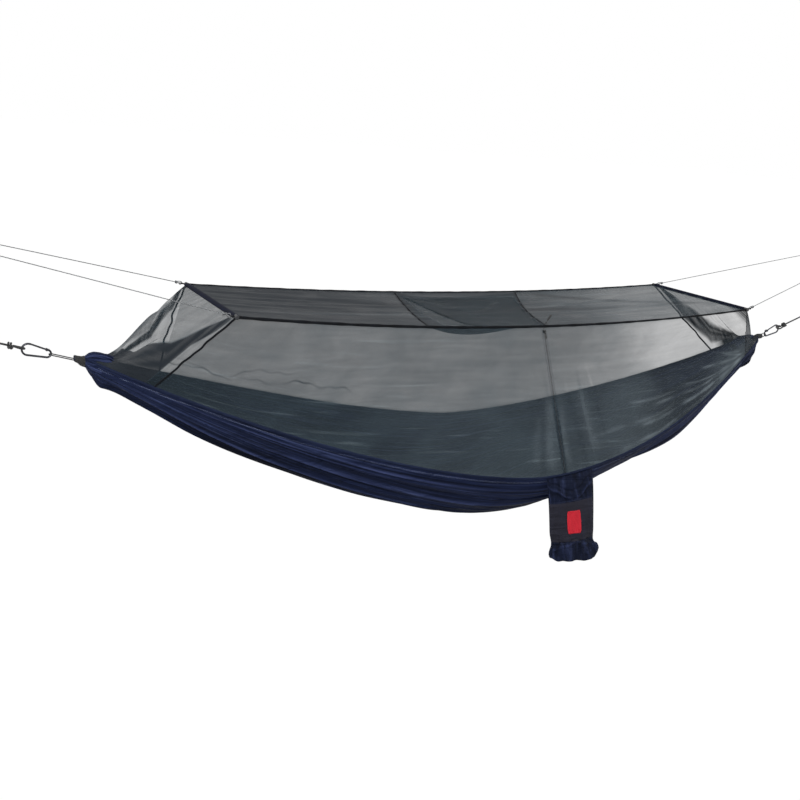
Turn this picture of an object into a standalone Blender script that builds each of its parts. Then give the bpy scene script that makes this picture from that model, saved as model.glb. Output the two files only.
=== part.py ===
# A camping hammock with a sewn-on insect net, hung level between two trees. Metres, +Z up.
# X runs from the left tree to the right one and Y from the near side to the far side. The
# origin is the point where the end eye of the left rope bears on its anchor.

import math

import bpy
import numpy as np

# The gap that two touching solids keep.
CLEARANCE = 0.0003
# How far a cutter runs past what it cuts.
OVERRUN = 0.002

# Bed: a gathered-end sheet, its edges turned over a cord. Near values come first, then far.
SPAN = 2.70
BED_THICKNESS = 0.0016
RIM_HALF_WIDTHS = (0.519, 0.467)
RIM_DROPS = (0.304, 0.402)
RIM_LOW_POINT_SHARES = (-0.058, 0.114)
RIM_WIDTH_POWER = 1.7
RIM_DROP_POWER = 1.6
RIM_RADIUS = 0.0035
BED_DEPTH = 0.204
BED_DEPTH_POWER = 3.66
BUNCH_HALF_WIDTH = 0.030
BUNCH_DEPTH = 0.095
BUNCH_POWER = 8
NECK_WIDTH_SHARE = 0.4
NECK_DEPTH_SHARE = 0.25
NECK_FROM_SHARE = 0.95
NECK_TO_SHARE = 0.995
BED_FOLD_HEIGHT = 0.017
BED_FOLDS = 5
BED_COLUMNS = 20
# Makes the largest value of share squared times (1 - share) one.
FOLD_SWELL = 27 / 4
SECTION_POINTS = 161
EDGE_POINTS = 6
LEAST_SLANT_SHARE = 0.3

# Columns of the bed and the net, as shares of the half span from the zip out to a corner.
ZIP_FOOT_SHARE = 0.022
CORNER_SHARES = {"left": (0.875, 0.815), "right": (0.875, 0.896)}
COLUMN_SHARES = (0.16, 0.32, 0.47, 0.61, 0.73, 0.83, 0.92, 1.0)
NECK_COLUMN_SHARES = (0.24, 0.44, 0.62, 0.76, 0.88, 1.0)

# Net: a box of mesh cloth over the bed, spread by a bar across each end.
NET_THICKNESS = 0.0012
BAR_FROM_GATHER = 0.361
BAR_FROM_MIDDLE = SPAN / 2 - BAR_FROM_GATHER
BAR_HALF_LENGTH = 0.257
BAR_RISE = 0.169
TOP_SAGS = (0.046, 0.029)
TOP_MIDDLE_SAG = 0.010
ZIP_HEAD_SHARE = 0.067
WALL_ROW_SHARES = (0.0, 0.2, 0.4, 0.6, 0.8, 1.0)
WALL_FOLD_HEIGHT = 0.012
WALL_FOLD_SHARES = (0.0, 0.6, -0.8, 1.0, -1.0, 0.5, 0.0, 0.0, 0.0)
TOP_ROWS = 7
END_ROWS_ON_TAPE = 4
END_COLUMNS = 9
END_NECK_RISE = 0.003
END_NECK_HALF_WIDTH = 0.025
END_RIDGE_SAG = 0.035
END_SAG_POWER = 3
END_FOLD_HEIGHT = 0.010
END_FOLDS = 3
TOP_TAPE_RADIUS = 0.0040
CORNER_TAPE_RADIUS = 0.0030

# Spreader bars: two tubes joined by a sleeve, in a flat cloth tunnel, with a cap on each end.
BAR_RADIUS = 0.00425
FERRULE_RADIUS = 0.0042
FERRULE_HALF_LENGTH = 0.030
TUNNEL_RADIUS = 0.0048
TUNNEL_HALF_WIDTH = 0.011
TUNNEL_HALF_HEIGHT = 0.0066
TUNNEL_EDGE = 0.0006
TUNNEL_SIDES = 24
TUNNEL_BULGE_POWER = 1.5
BAR_WALL = 0.0009
CAP_RADIUS = 0.0065
CAP_INNER_REACH = 0.012
CAP_OUTER_REACH = 0.006
CAP_ROUNDING_SHARE = 0.3
CAP_ROOM_SHARE = 1.5
BAR_SIDES = 16

# Loft: a sling under the top of the net, sewn on three sides and open at the far one.
LOFT_FAR_X = (-0.233, 0.287)
LOFT_NEAR_X = (-0.365, 0.085)
LOFT_EDGE_INSET = 0.014
LOFT_SAG = 0.050
LOFT_MOUTH_SHARE = 0.62
LOFT_MOUTH_FROM_SHARE = 0.5
LOFT_STEEPNESS = 2.2
LOFT_SEAM_GAP = 0.0006
LOFT_COLUMNS = 13
LOFT_ROWS = 8

# Lines that pull the bar ends outwards, and the rings that they are tied to.
GUY_RADIUS = 0.00125
GUY_EYE_RADIUS = 0.0050
GUY_ANCHOR_FROM_MIDDLE = 2.094
GUY_ANCHOR_RISE = 0.430
GUY_SHARES = {"left_far": 0.575, "left_near": 0.595, "right_far": 0.675, "right_near": 0.430}
GUY_RING_RADIUS = 0.0062
GUY_RING_WIRE = 0.0015
RING_SIDES = 16
RING_WIRE_SIDES = 8

# Ropes: each leaves a gather along a straight line. Distances run along it from the gather.
GATHER_DROP = 0.012
LEFT_ROPE_SLOPE = math.radians(14.9)
RIGHT_ROPE_SLOPE = math.radians(20.1)
ROPE_RADIUS = 0.0030
ROPE_EYE_RADIUS = 0.010
ROPE_EYE_TWIST = math.radians(20)
EYE_LENGTH_SHARE = 3.2
EYE_LEAD_SHARE = 0.5
EYE_CLOSING_SHARE = 0.45
LEFT_CLIP_REACH = 0.180
LEFT_ANCHOR_REACH = 0.335
RIGHT_ANCHOR_REACH = 0.400
HITCH_TURNS = 2
HITCH_POINTS = 8
EYE_POINTS = 7
HITCH_GAP = 0.0008

# Knots on the gathers and the cord loops that the snap hooks hold.
KNOT_LENGTH = 0.030
KNOT_RADIUS = 0.0185
KNOT_GROOVE = 0.0025
KNOT_RIBS = 3
KNOT_FLAT_SHARES = (0.25, 0.75)
KNOT_SIDES = 20
KNOT_FACE_GAP = 0.0010
KNOT_DROP = 0.010
LOOP_RADIUS = 0.0016
LOOP_HALF_WIDTH = 0.0070
LOOP_TWIST = math.radians(30)
LOOP_POINTS = 9
CONTACT_GAP = 0.0008

# Snap hooks: a pear-shaped rod with a sprung gate on its upper side.
HOOK_ROD_RADIUS = 0.0030
HOOK_LENGTH = 0.080
HOOK_NARROW_RADIUS = 0.011
HOOK_WIDE_RADIUS = 0.0165
GATE_RADIUS = 0.0026
GATE_BOSS_RADIUS = 0.0036
GATE_BOSS_THICKNESS = 0.0056
GATE_PIN_RADIUS = 0.0011
GATE_BORE_RADIUS = 0.0014
EAR_THICKNESS = 0.0014
EAR_RADIUS = 0.0040
EAR_HEIGHT_SHARE = 0.7
BRIDGE_PLACE_SHARE = 0.55
BRIDGE_LENGTH_SHARE = 0.4
HOOK_SIDES = 10
HOOK_BEND_POINTS = 11

# Zip down the near wall, with its slider and pull.
ZIP_SLIT = 0.0016
ZIP_TAPE_WIDTH = 0.0090
ZIP_TAPE_THICKNESS = 0.0010
ZIP_COIL_WIDTH = 0.0020
ZIP_COIL_THICKNESS = 0.0022
ZIP_SLIDER_REACH = 0.018
SLIDER_LENGTH = 0.0100
SLIDER_WIDTH = 0.0084
SLIDER_PLATE = 0.0013
SLIDER_POST_WIDTH = 0.0008
SLIDER_POST_LENGTH = 0.0040
BAIL_LEG = 0.0010
BAIL_LEG_SHARE = 0.4
BAIL_WIDTH = 0.0060
BAIL_HEIGHT = 0.0036
PULL_RING_RADIUS = 0.0019
PULL_RING_WIRE = 0.0006
PULL_CORD_RADIUS = 0.0009
PULL_BEAD_RADIUS = 0.0028
PULL_BEAD_SHOULDER_SHARE = 0.85
PULL_BEAD_REACH = 0.0100
PULL_BARREL_RADIUS = 0.0023
PULL_BARREL_REACHES = (0.0150, 0.0270)
SMALL_SIDES = 10

# Toggle that holds the rolled-up door, on a staple of cord on the near top edge.
STAPLE_HALF_WIDTH = 0.0045
STAPLE_HEIGHT = 0.0070
STAPLE_WIRE = 0.0009
STAPLE_FROM_ZIP = 0.010
TOGGLE_LEAN = math.radians(32)
TOGGLE_RADIUS = 0.0034
TOGGLE_REACHES = (0.0070, 0.0290)

# Stuff sack: sewn by its base to the near rim, hanging mouth down, with a bare patch.
SACK_SEAT_LEAN = math.radians(30.5)
SACK_MIDDLE_X = 0.0485
SACK_LENGTH = 0.285
SACK_LEAN_SHARE = 0.13
SACK_WALL = 0.0015
SACK_TOP_RADIUS = 0.0010
SACK_SIDES = 24
SACK_HALF_WIDTH = 0.0925
SACK_HALF_DEPTH = 0.027
SACK_LEVEL_SHARES = (0.0, 0.06, 0.16, 0.34, 0.55, 0.75, 0.90, 1.0)
SACK_WIDTH_SHARES = (1.0, 1.0, 0.99, 0.97, 0.95, 0.95, 0.97, 1.0)
SACK_DEPTH_SHARES = (0.037, 0.18, 0.34, 0.52, 0.64, 0.74, 0.86, 1.0)
SACK_CLOSED_LEVELS = 1
PATCH_THICKNESS = 0.0008
PATCH_WIDTH = 0.052
PATCH_HEIGHT = 0.076
PATCH_CENTRE_DEPTH = 0.152
PATCH_CENTRE_SIDE = -0.004
PATCH_COLUMNS = 7
PATCH_ROWS = 6

NEAR, FAR = 0, 1
LEFT, RIGHT = -1, 1
SIDE_NAMES = ("near", "far")
SIDE_SIGNS = (-1, 1)
END_NAMES = {LEFT: "left", RIGHT: "right"}
ROPE_SLOPES = {LEFT: LEFT_ROPE_SLOPE, RIGHT: RIGHT_ROPE_SLOPE}
ANCHOR_REACHES = {LEFT: LEFT_ANCHOR_REACH, RIGHT: RIGHT_ANCHOR_REACH}

# Colours as linear red, green and blue, with roughness and metallic.
FINISHES = {
    "navy_nylon": ((0.020, 0.028, 0.055), 0.62, 0.0),
    "net_mesh": ((0.120, 0.130, 0.145), 0.80, 0.0),
    "net_binding": ((0.030, 0.035, 0.050), 0.70, 0.0),
    "black_cord": ((0.012, 0.012, 0.014), 0.75, 0.0),
    "guy_cord": ((0.080, 0.082, 0.085), 0.70, 0.0),
    "black_steel": ((0.030, 0.030, 0.033), 0.35, 1.0),
    "aluminium": ((0.420, 0.430, 0.450), 0.35, 1.0),
    "black_plastic": ((0.015, 0.015, 0.017), 0.45, 0.0),
    "red_patch": ((0.540, 0.035, 0.055), 0.55, 0.0),
}

X_AXIS = np.array((1.0, 0.0, 0.0))
Y_AXIS = np.array((0.0, 1.0, 0.0))
Z_AXIS = np.array((0.0, 0.0, 1.0))


def clear_scene():
    for old in list(bpy.data.objects):
        bpy.data.objects.remove(old, do_unlink=True)


def unit(vector):
    return vector / np.linalg.norm(vector)


def finish(name):
    material = bpy.data.materials.get(name)
    if material:
        return material
    colour, roughness, metallic = FINISHES[name]
    material = bpy.data.materials.new(name)
    material.use_nodes = True
    shader = material.node_tree.nodes["Principled BSDF"]
    shader.inputs["Base Color"].default_value = (*colour, 1.0)
    shader.inputs["Roughness"].default_value = roughness
    shader.inputs["Metallic"].default_value = metallic
    return material


def make_empty(name, place, parent=None):
    empty = bpy.data.objects.new(name, None)
    bpy.context.collection.objects.link(empty)
    empty.location = place
    empty.parent = parent
    return empty


# A mesh object whose points are given in the hammock's frame and kept relative to its pivot.
def add_mesh(name, points, faces, slot, parent, pivot=(0, 0, 0), smooth=True):
    mesh = bpy.data.meshes.new(name)
    local = np.asarray(points, dtype=float) - np.asarray(pivot, dtype=float)
    mesh.from_pydata([tuple(p) for p in local], [], [tuple(f) for f in faces])
    mesh.validate()
    mesh.materials.append(finish(slot))
    thing = bpy.data.objects.new(name, mesh)
    bpy.context.collection.objects.link(thing)
    thing.parent = parent
    if smooth:
        mesh.shade_smooth()
        mesh.set_sharp_from_angle(angle=math.radians(40))
    return thing


def add_cord(name, points, radius, slot, parent, pivot=(0, 0, 0)):
    curve = bpy.data.curves.new(name, "CURVE")
    curve.dimensions = "3D"
    curve.bevel_depth = radius
    curve.bevel_resolution = 2
    curve.use_fill_caps = True
    spline = curve.splines.new("POLY")
    spline.points.add(len(points) - 1)
    for point, place in zip(spline.points, points):
        point.co = (*(np.asarray(place) - np.asarray(pivot)), 1.0)
    curve.materials.append(finish(slot))
    thing = bpy.data.objects.new(name, curve)
    bpy.context.collection.objects.link(thing)
    thing.parent = parent
    return thing


# A sheet of cloth from a grid of points, thickened evenly to both sides.
def add_sheet(name, grid, thickness, slot, parent, pivot=(0, 0, 0)):
    rows, columns = grid.shape[:2]
    faces = []
    for i in range(rows - 1):
        for j in range(columns - 1):
            corner = i * columns + j
            faces.append((corner, corner + columns, corner + columns + 1, corner + 1))
    sheet = add_mesh(name, grid.reshape(-1, 3), faces, slot, parent, pivot)
    solidify = sheet.modifiers.new("thickness", "SOLIDIFY")
    solidify.thickness = thickness
    solidify.offset = 0.0
    return sheet


# Rings of points bridged in order. A loop of rings is closed, and an open run gets two caps.
def bridge_rings(rings, closed=False):
    sides = len(rings[0])
    points = np.concatenate(rings)
    faces = []
    count = len(rings)
    for i in range(count if closed else count - 1):
        for j in range(sides):
            a = i * sides + j
            b = i * sides + (j + 1) % sides
            c = ((i + 1) % count) * sides + (j + 1) % sides
            d = ((i + 1) % count) * sides + j
            faces.append((a, b, c, d))
    if not closed:
        faces.append(tuple(range(sides - 1, -1, -1)))
        last = (count - 1) * sides
        faces.append(tuple(range(last, last + sides)))
    return points, faces


def circle(centre, radius, first, second, sides):
    angles = np.arange(sides) * 2 * math.pi / sides
    return centre + radius * (np.outer(np.cos(angles), first) + np.outer(np.sin(angles), second))


# Two directions square to an axis, so that first, second and axis are right-handed.
def square_to(axis):
    helper = Z_AXIS if abs(axis[2]) < 0.9 else X_AXIS
    first = unit(np.cross(helper, axis))
    return first, np.cross(axis, first)


# A turned piece: (distance along the axis, radius) pairs, both ends flat.
def turned(start, axis, profile, sides):
    first, second = square_to(axis)
    rings = [circle(start + axis * along, radius, first, second, sides)
             for along, radius in profile]
    return bridge_rings(rings)


def swept(points, radius, sides, normal):
    points = np.asarray(points)
    tangents = np.gradient(points, axis=0)
    rings = []
    for place, tangent in zip(points, tangents):
        axis = unit(tangent)
        second = np.cross(axis, normal)
        rings.append(circle(place, radius, normal, second, sides))
    return bridge_rings(rings)


def torus(centre, normal, radius, wire):
    first, second = square_to(normal)
    rings = []
    for k in range(RING_SIDES):
        angle = 2 * math.pi * k / RING_SIDES
        out = math.cos(angle) * first + math.sin(angle) * second
        rings.append(circle(centre + out * radius, wire, out, -normal, RING_WIRE_SIDES))
    return bridge_rings(rings, closed=True)


def box(centre, half_sizes, axes):
    corners = []
    for a in (-1, 1):
        for b in (-1, 1):
            for c in (-1, 1):
                offset = sum(sign * half * axis for sign, half, axis
                             in zip((a, b, c), half_sizes, axes))
                corners.append(centre + offset)
    faces = [(0, 1, 3, 2), (4, 6, 7, 5), (0, 4, 5, 1), (2, 3, 7, 6), (0, 2, 6, 4), (1, 5, 7, 3)]
    if np.dot(np.cross(axes[0], axes[1]), axes[2]) < 0:
        faces = [tuple(reversed(face)) for face in faces]
    return np.array(corners), faces


def combine(target, shapes, operation):
    for number, (points, faces) in enumerate(shapes):
        tool = add_mesh(f"{target.name}_{operation.lower()}_{number}", points, faces,
                        target.data.materials[0].name, target, smooth=False)
        tool.hide_render = True
        tool.display_type = "WIRE"
        boolean = target.modifiers.new(f"{operation.lower()}_{number}", "BOOLEAN")
        boolean.operation = operation
        boolean.solver = "EXACT"
        boolean.object = tool


# The cord's own least gap, from the distances between points that aren't close along it.
def least_gap(points, diameter):
    points = np.asarray(points)
    steps = np.linalg.norm(np.diff(points, axis=0), axis=1)
    along = np.concatenate(([0.0], np.cumsum(steps)))
    apart = np.linalg.norm(points[:, None] - points[None], axis=2)
    far_along = np.abs(along[:, None] - along[None]) > math.pi * diameter
    return float(apart[far_along].min() - diameter)


# An eye tied at the end of a line, as points from its tail to the line. The eye bears at
# bearing, the line leaves along axis, and the tail winds round the line towards its other end.
def tied_eye(bearing, axis, side, radius, eye_radius):
    wrap = (2 * radius + HITCH_GAP) / math.cos(math.pi / HITCH_POINTS)
    pitch = 2 * radius + HITCH_GAP
    length = EYE_LENGTH_SHARE * eye_radius
    across = np.cross(axis, side)
    points = []
    for k in range(HITCH_TURNS * HITCH_POINTS, -1, -1):
        angle = 2 * math.pi * k / HITCH_POINTS
        out = -math.cos(angle) * side + math.sin(angle) * across
        points.append(bearing + axis * (length + pitch * k / HITCH_POINTS) + out * wrap)
    lead = EYE_LEAD_SHARE * (length + eye_radius)
    points.append(bearing + axis * lead - side * (wrap + eye_radius) / 2)
    for k in range(EYE_POINTS):
        angle = math.pi * k / (EYE_POINTS - 1)
        out = -math.cos(angle) * side * eye_radius - math.sin(angle) * axis * eye_radius
        points.append(bearing + axis * eye_radius + out)
    points.append(bearing + axis * lead + side * EYE_CLOSING_SHARE * eye_radius)
    points.append(bearing + axis * length)
    return points


# How much a gathered size is drawn in at a share of the half span.
def neck(share, least):
    closing = (abs(share) - NECK_FROM_SHARE) / (NECK_TO_SHARE - NECK_FROM_SHARE)
    return 1 - (1 - least) * min(max(closing, 0.0), 1.0) ** 2


def rim_point(side, share):
    reach = abs(share)
    width = RIM_HALF_WIDTHS[side] * (1 - reach ** RIM_WIDTH_POWER)
    width += BUNCH_HALF_WIDTH * reach ** BUNCH_POWER
    width *= neck(share, NECK_WIDTH_SHARE)
    low = share - RIM_LOW_POINT_SHARES[side] * (1 - share ** 2)
    drop = RIM_DROPS[side] * (1 - abs(low) ** RIM_DROP_POWER)
    return np.array((share * SPAN / 2, SIDE_SIGNS[side] * width, -drop))


def bed_depth(share):
    reach = abs(share)
    depth = BED_DEPTH * (1 - reach ** BED_DEPTH_POWER) + BUNCH_DEPTH * reach ** BUNCH_POWER
    return depth * neck(share, NECK_DEPTH_SHARE)


# Shares of the half span for every column of a wall, the zip's foot among them.
def wall_shares(side):
    left, right = -CORNER_SHARES["left"][side], CORNER_SHARES["right"][side]
    before = [ZIP_FOOT_SHARE + (left - ZIP_FOOT_SHARE) * q for q in COLUMN_SHARES]
    after = [ZIP_FOOT_SHARE + (right - ZIP_FOOT_SHARE) * q for q in COLUMN_SHARES]
    return before[::-1] + [ZIP_FOOT_SHARE] + after


# The same columns on a top edge, as shares of the distance from the middle to a bar.
def top_shares():
    left = [ZIP_HEAD_SHARE + (-1 - ZIP_HEAD_SHARE) * q for q in COLUMN_SHARES]
    right = [ZIP_HEAD_SHARE + (1 - ZIP_HEAD_SHARE) * q for q in COLUMN_SHARES]
    return left[::-1] + [ZIP_HEAD_SHARE] + right


# The columns from a corner out to a gather.
def neck_shares(end, side):
    corner = CORNER_SHARES[END_NAMES[end]][side]
    return [end * (corner + (1 - corner) * q) for q in NECK_COLUMN_SHARES]


def all_shares(side):
    return neck_shares(LEFT, side)[::-1] + wall_shares(side) + neck_shares(RIGHT, side)


def top_point(side, share):
    sag = TOP_SAGS[side] * (1 - share ** 2)
    return np.array((share * BAR_FROM_MIDDLE, SIDE_SIGNS[side] * BAR_HALF_LENGTH, BAR_RISE - sag))


def bar_end(end, side):
    return top_point(side, end)


def corner_point(end, side):
    return rim_point(side, end * CORNER_SHARES[END_NAMES[end]][side])


def bed_section(near_share, far_share):
    share = (near_share + far_share) / 2
    near, far, depth = rim_point(NEAR, near_share), rim_point(FAR, far_share), bed_depth(share)
    t = np.linspace(0, math.pi, SECTION_POINTS)[:, None]
    blend = (1 - np.cos(t)) / 2
    base = near * (1 - blend) + far * blend - Z_AXIS * depth * np.sin(t)
    tangent = np.gradient(base[:, 1:], axis=0)
    outward = np.stack((tangent[:, 1] * 0, tangent[:, 1], -tangent[:, 0]), axis=1)
    outward /= np.linalg.norm(outward, axis=1)[:, None]
    reach = abs(share)
    swell = FOLD_SWELL * reach ** 2 * (1 - reach)
    length = np.concatenate(([0], np.cumsum(np.linalg.norm(np.diff(base, axis=0), axis=1))))
    place = (length / length[-1])[:, None]
    wave = np.cos(2 * math.pi * BED_FOLDS * place) * np.sin(math.pi * place)
    return base + outward * wave * swell * BED_FOLD_HEIGHT


# How far a sheet's edge stays from a seam that it leaves at a slant, at one of its points.
def slanted(distance, step, seam, index):
    least = 1.0
    for other in (index - 1, index + 1):
        if 0 <= other < len(seam):
            tangent = unit(seam[other] - seam[index])
            least = min(least, np.linalg.norm(np.cross(unit(step), tangent)))
    return distance / max(least, LEAST_SLANT_SHARE)


def bed_grid():
    shares = [all_shares(side) for side in (NEAR, FAR)]
    rims = [np.array([rim_point(side, share) for share in shares[side]]) for side in (NEAR, FAR)]
    rows = []
    for i in range(len(shares[NEAR])):
        section = bed_section(shares[NEAR][i], shares[FAR][i])
        steps = np.linalg.norm(np.diff(section, axis=0), axis=1)
        along = np.concatenate(([0.0], np.cumsum(steps)))
        seam = RIM_RADIUS + CLEARANCE
        start = slanted(seam, section[EDGE_POINTS] - section[0], rims[NEAR], i)
        stop = along[-1] - slanted(seam, section[-1 - EDGE_POINTS] - section[-1], rims[FAR], i)
        wanted = np.linspace(start, stop, BED_COLUMNS)
        rows.append(np.stack([np.interp(wanted, along, section[:, k]) for k in range(3)], axis=1))
    return np.array(rows)


# Moves the first row of a grid away from the seam that it lies on, square to that seam.
def inset_first_row(grid, distance):
    seam = grid[0].copy()
    step = grid[1] - grid[0]
    for j in range(grid.shape[1]):
        grid[0, j] += unit(step[j]) * slanted(distance, step[j], seam, j)


def inset_edges(grid, start, end, first, last):
    inset_first_row(grid, start)
    inset_first_row(grid[::-1], end)
    turned_grid = grid.swapaxes(0, 1)
    inset_first_row(turned_grid, first)
    inset_first_row(turned_grid[::-1], last)
    return grid


# Keeps a corner of a grid outside the cap on the bar end beside it.
def clear_cap(grid, corner, hub):
    reach = CAP_ROOM_SHARE * CAP_RADIUS
    along = unit(grid[corner] - hub)
    if np.linalg.norm(grid[corner] - hub) < reach:
        grid[corner] = hub + along * reach


def wall_grid(side, first, last, zip_inset_first, zip_inset_last):
    rims, tops = wall_shares(side), top_shares()
    folds = WALL_FOLD_SHARES + WALL_FOLD_SHARES[-2::-1]
    grid = []
    for i in range(first, last + 1):
        top, rim = top_point(side, tops[i]), rim_point(side, rims[i])
        out = unit(np.cross(rim - top, X_AXIS)) * WALL_FOLD_HEIGHT * folds[i]
        grid.append([top + (rim - top) * v + out * math.sin(math.pi * v)
                     for v in WALL_ROW_SHARES])
    grid = inset_edges(np.array(grid), zip_inset_first, zip_inset_last,
                       TOP_TAPE_RADIUS + CLEARANCE, RIM_RADIUS + CLEARANCE)
    if first == 0:
        clear_cap(grid, (0, 0), bar_end(LEFT, side))
    if last == len(rims) - 1:
        clear_cap(grid, (-1, 0), bar_end(RIGHT, side))
    return grid


def top_grid():
    grid = []
    for share in top_shares():
        near, far = top_point(NEAR, share), top_point(FAR, share)
        row = []
        for k in range(TOP_ROWS):
            v = k / (TOP_ROWS - 1)
            sag = TOP_MIDDLE_SAG * math.sin(math.pi * v) * (1 - share ** 2)
            row.append(near + (far - near) * v - Z_AXIS * sag)
        grid.append(row)
    edge = TUNNEL_HALF_WIDTH + CLEARANCE
    seam = TOP_TAPE_RADIUS + CLEARANCE
    return inset_edges(np.array(grid), edge, edge, seam, seam)


# One side of a net end: down the corner seam, then along the rim to the neck.
def end_side(end, side):
    top, corner = bar_end(end, side), corner_point(end, side)
    points = [top + (corner - top) * k / END_ROWS_ON_TAPE for k in range(END_ROWS_ON_TAPE)]
    points.append(corner)
    points += [rim_point(side, share) for share in neck_shares(end, side)[:-1]]
    return np.array(points)


# The ridge that the cloth pulls straight from a bar end to the neck, by its place along X.
def ridge_point(end, side, place, reach):
    bar = bar_end(end, side)
    neck_top = np.array((end * reach, SIDE_SIGNS[side] * END_NECK_HALF_WIDTH, END_NECK_RISE))
    down = (abs(place) - BAR_FROM_MIDDLE) / (reach - BAR_FROM_MIDDLE)
    down = min(max(down, 0.0), 1.0)
    sag = END_RIDGE_SAG * math.sin(math.pi * down ** END_SAG_POWER)
    return bar + (neck_top - bar) * down - Z_AXIS * sag


def end_grid(end):
    near, far = end_side(end, NEAR), end_side(end, FAR)
    rows = len(near)
    grid = np.zeros((rows, END_COLUMNS, 3))
    reach = abs(near[-1][0] + far[-1][0]) / 2
    out = unit(np.array((end * BAR_RISE, 0.0, BAR_FROM_GATHER)))
    shares = np.linspace(0, 1, END_COLUMNS)
    for i in range(rows):
        place = (near[i][0] + far[i][0]) / 2
        section = np.array((near[i], ridge_point(end, NEAR, place, reach),
                            ridge_point(end, FAR, place, reach), far[i]))
        steps = np.linalg.norm(np.diff(section, axis=0), axis=1)
        along = np.concatenate(([0.0], np.cumsum(steps)))
        room = math.sin(math.pi * i / (rows - 1)) * min(1.0, along[-1] / (2 * BAR_HALF_LENGTH))
        fold = np.cos(2 * math.pi * END_FOLDS * shares) * np.sin(math.pi * shares) ** 2
        for k in range(3):
            grid[i, :, k] = np.interp(shares * along[-1], along, section[:, k])
        grid[i] += np.outer(fold * room * END_FOLD_HEIGHT, out)
    seam = max(CORNER_TAPE_RADIUS, RIM_RADIUS) + CLEARANCE
    inset_first_row(grid, TUNNEL_HALF_WIDTH + CLEARANCE + NET_THICKNESS)
    columns = grid.swapaxes(0, 1)
    inset_first_row(columns, seam)
    inset_first_row(columns[::-1], seam)
    return grid


def loft_grid(top):
    near_y = -BAR_HALF_LENGTH + LOFT_EDGE_INSET
    far_y = BAR_HALF_LENGTH - LOFT_EDGE_INSET
    drop = NET_THICKNESS + LOFT_SEAM_GAP
    grid = np.zeros((LOFT_COLUMNS, LOFT_ROWS, 3))
    for i in range(LOFT_COLUMNS):
        u = i / (LOFT_COLUMNS - 1)
        for j in range(LOFT_ROWS):
            v = j / (LOFT_ROWS - 1)
            near_x = LOFT_NEAR_X[0] + (LOFT_NEAR_X[1] - LOFT_NEAR_X[0]) * u
            far_x = LOFT_FAR_X[0] + (LOFT_FAR_X[1] - LOFT_FAR_X[0]) * u
            place = np.array((near_x + (far_x - near_x) * v, near_y + (far_y - near_y) * v, 0.0))
            hang = math.sin(math.pi * u) * math.sin(math.pi / 2 * min(1.0, LOFT_STEEPNESS * v))
            mouth = max(0.0, v - LOFT_MOUTH_FROM_SHARE) / (1 - LOFT_MOUTH_FROM_SHARE)
            hang *= 1 - (1 - LOFT_MOUTH_SHARE) * mouth
            place[2] = height_on(top, place) - drop - LOFT_SAG * hang
            grid[i, j] = place
    return grid


# Height of a grid of points over a place, from the four points around it.
def height_on(grid, place):
    columns = grid[:, 0, 0]
    i = int(np.clip(np.searchsorted(columns, place[0]) - 1, 0, len(columns) - 2))
    rows = grid[i, :, 1]
    j = int(np.clip(np.searchsorted(rows, place[1]) - 1, 0, len(rows) - 2))
    u = (place[0] - grid[i, j, 0]) / (grid[i + 1, j, 0] - grid[i, j, 0])
    v = (place[1] - grid[i, j, 1]) / (grid[i, j + 1, 1] - grid[i, j, 1])
    low = grid[i, j, 2] * (1 - u) + grid[i + 1, j, 2] * u
    high = grid[i, j + 1, 2] * (1 - u) + grid[i + 1, j + 1, 2] * u
    return low * (1 - v) + high * v


def gather_point(end):
    return np.array((end * SPAN / 2, 0.0, -GATHER_DROP))


def rope_axis(end):
    slope = ROPE_SLOPES[end]
    return np.array((end * math.cos(slope), 0.0, math.sin(slope)))


# The right hook is as high as the left one, because the hammock swings on both.
def clip_reach(end):
    if end == LEFT:
        return LEFT_CLIP_REACH
    return LEFT_CLIP_REACH * math.sin(LEFT_ROPE_SLOPE) / math.sin(RIGHT_ROPE_SLOPE)


def anchor_bearing(end):
    return gather_point(end) + rope_axis(end) * ANCHOR_REACHES[end]


# A seam whose end faces stay clear of the knots, although it meets them at a slant.
def trimmed(points, radius):
    for end, inner in ((0, 1), (-1, -2)):
        axis = unit(points[inner] - points[end])
        lean = math.sqrt(1 - axis[0] ** 2) / abs(axis[0])
        points[end] = points[end] + axis * radius * lean
    return points


def make_bed(hammock):
    add_sheet("hammock_bed", bed_grid(), BED_THICKNESS, "navy_nylon", hammock)
    for side in (NEAR, FAR):
        points = trimmed([rim_point(side, share) for share in all_shares(side)], RIM_RADIUS)
        add_cord(f"{SIDE_NAMES[side]}_rim_binding", points, RIM_RADIUS, "navy_nylon", hammock)


def make_net(hammock):
    middle = len(COLUMN_SHARES)
    last = 2 * middle
    corner = CORNER_TAPE_RADIUS + CLEARANCE
    zip_edge = ZIP_SLIT / 2 + ZIP_TAPE_WIDTH + CLEARANCE
    top = top_grid()
    sheets = {
        "net_top": top,
        "net_near_left": wall_grid(NEAR, 0, middle, corner, zip_edge),
        "net_near_right": wall_grid(NEAR, middle, last, zip_edge, corner),
        "net_far": wall_grid(FAR, 0, last, corner, corner),
        "net_left_end": end_grid(LEFT),
        "net_right_end": end_grid(RIGHT),
        "gear_loft": loft_grid(top),
    }
    for name, grid in sheets.items():
        add_sheet(name, grid, NET_THICKNESS, "net_mesh", hammock)


def make_seams(hammock):
    for side in (NEAR, FAR):
        points = [top_point(side, share) for share in top_shares()]
        trim = CAP_RADIUS + CLEARANCE
        points[0] = points[0] + unit(points[1] - points[0]) * trim
        points[-1] = points[-1] + unit(points[-2] - points[-1]) * trim
        add_cord(f"{SIDE_NAMES[side]}_top_binding", points, TOP_TAPE_RADIUS, "net_binding",
                 hammock)
        for end in (LEFT, RIGHT):
            make_corner_tape(hammock, end, side)


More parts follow.
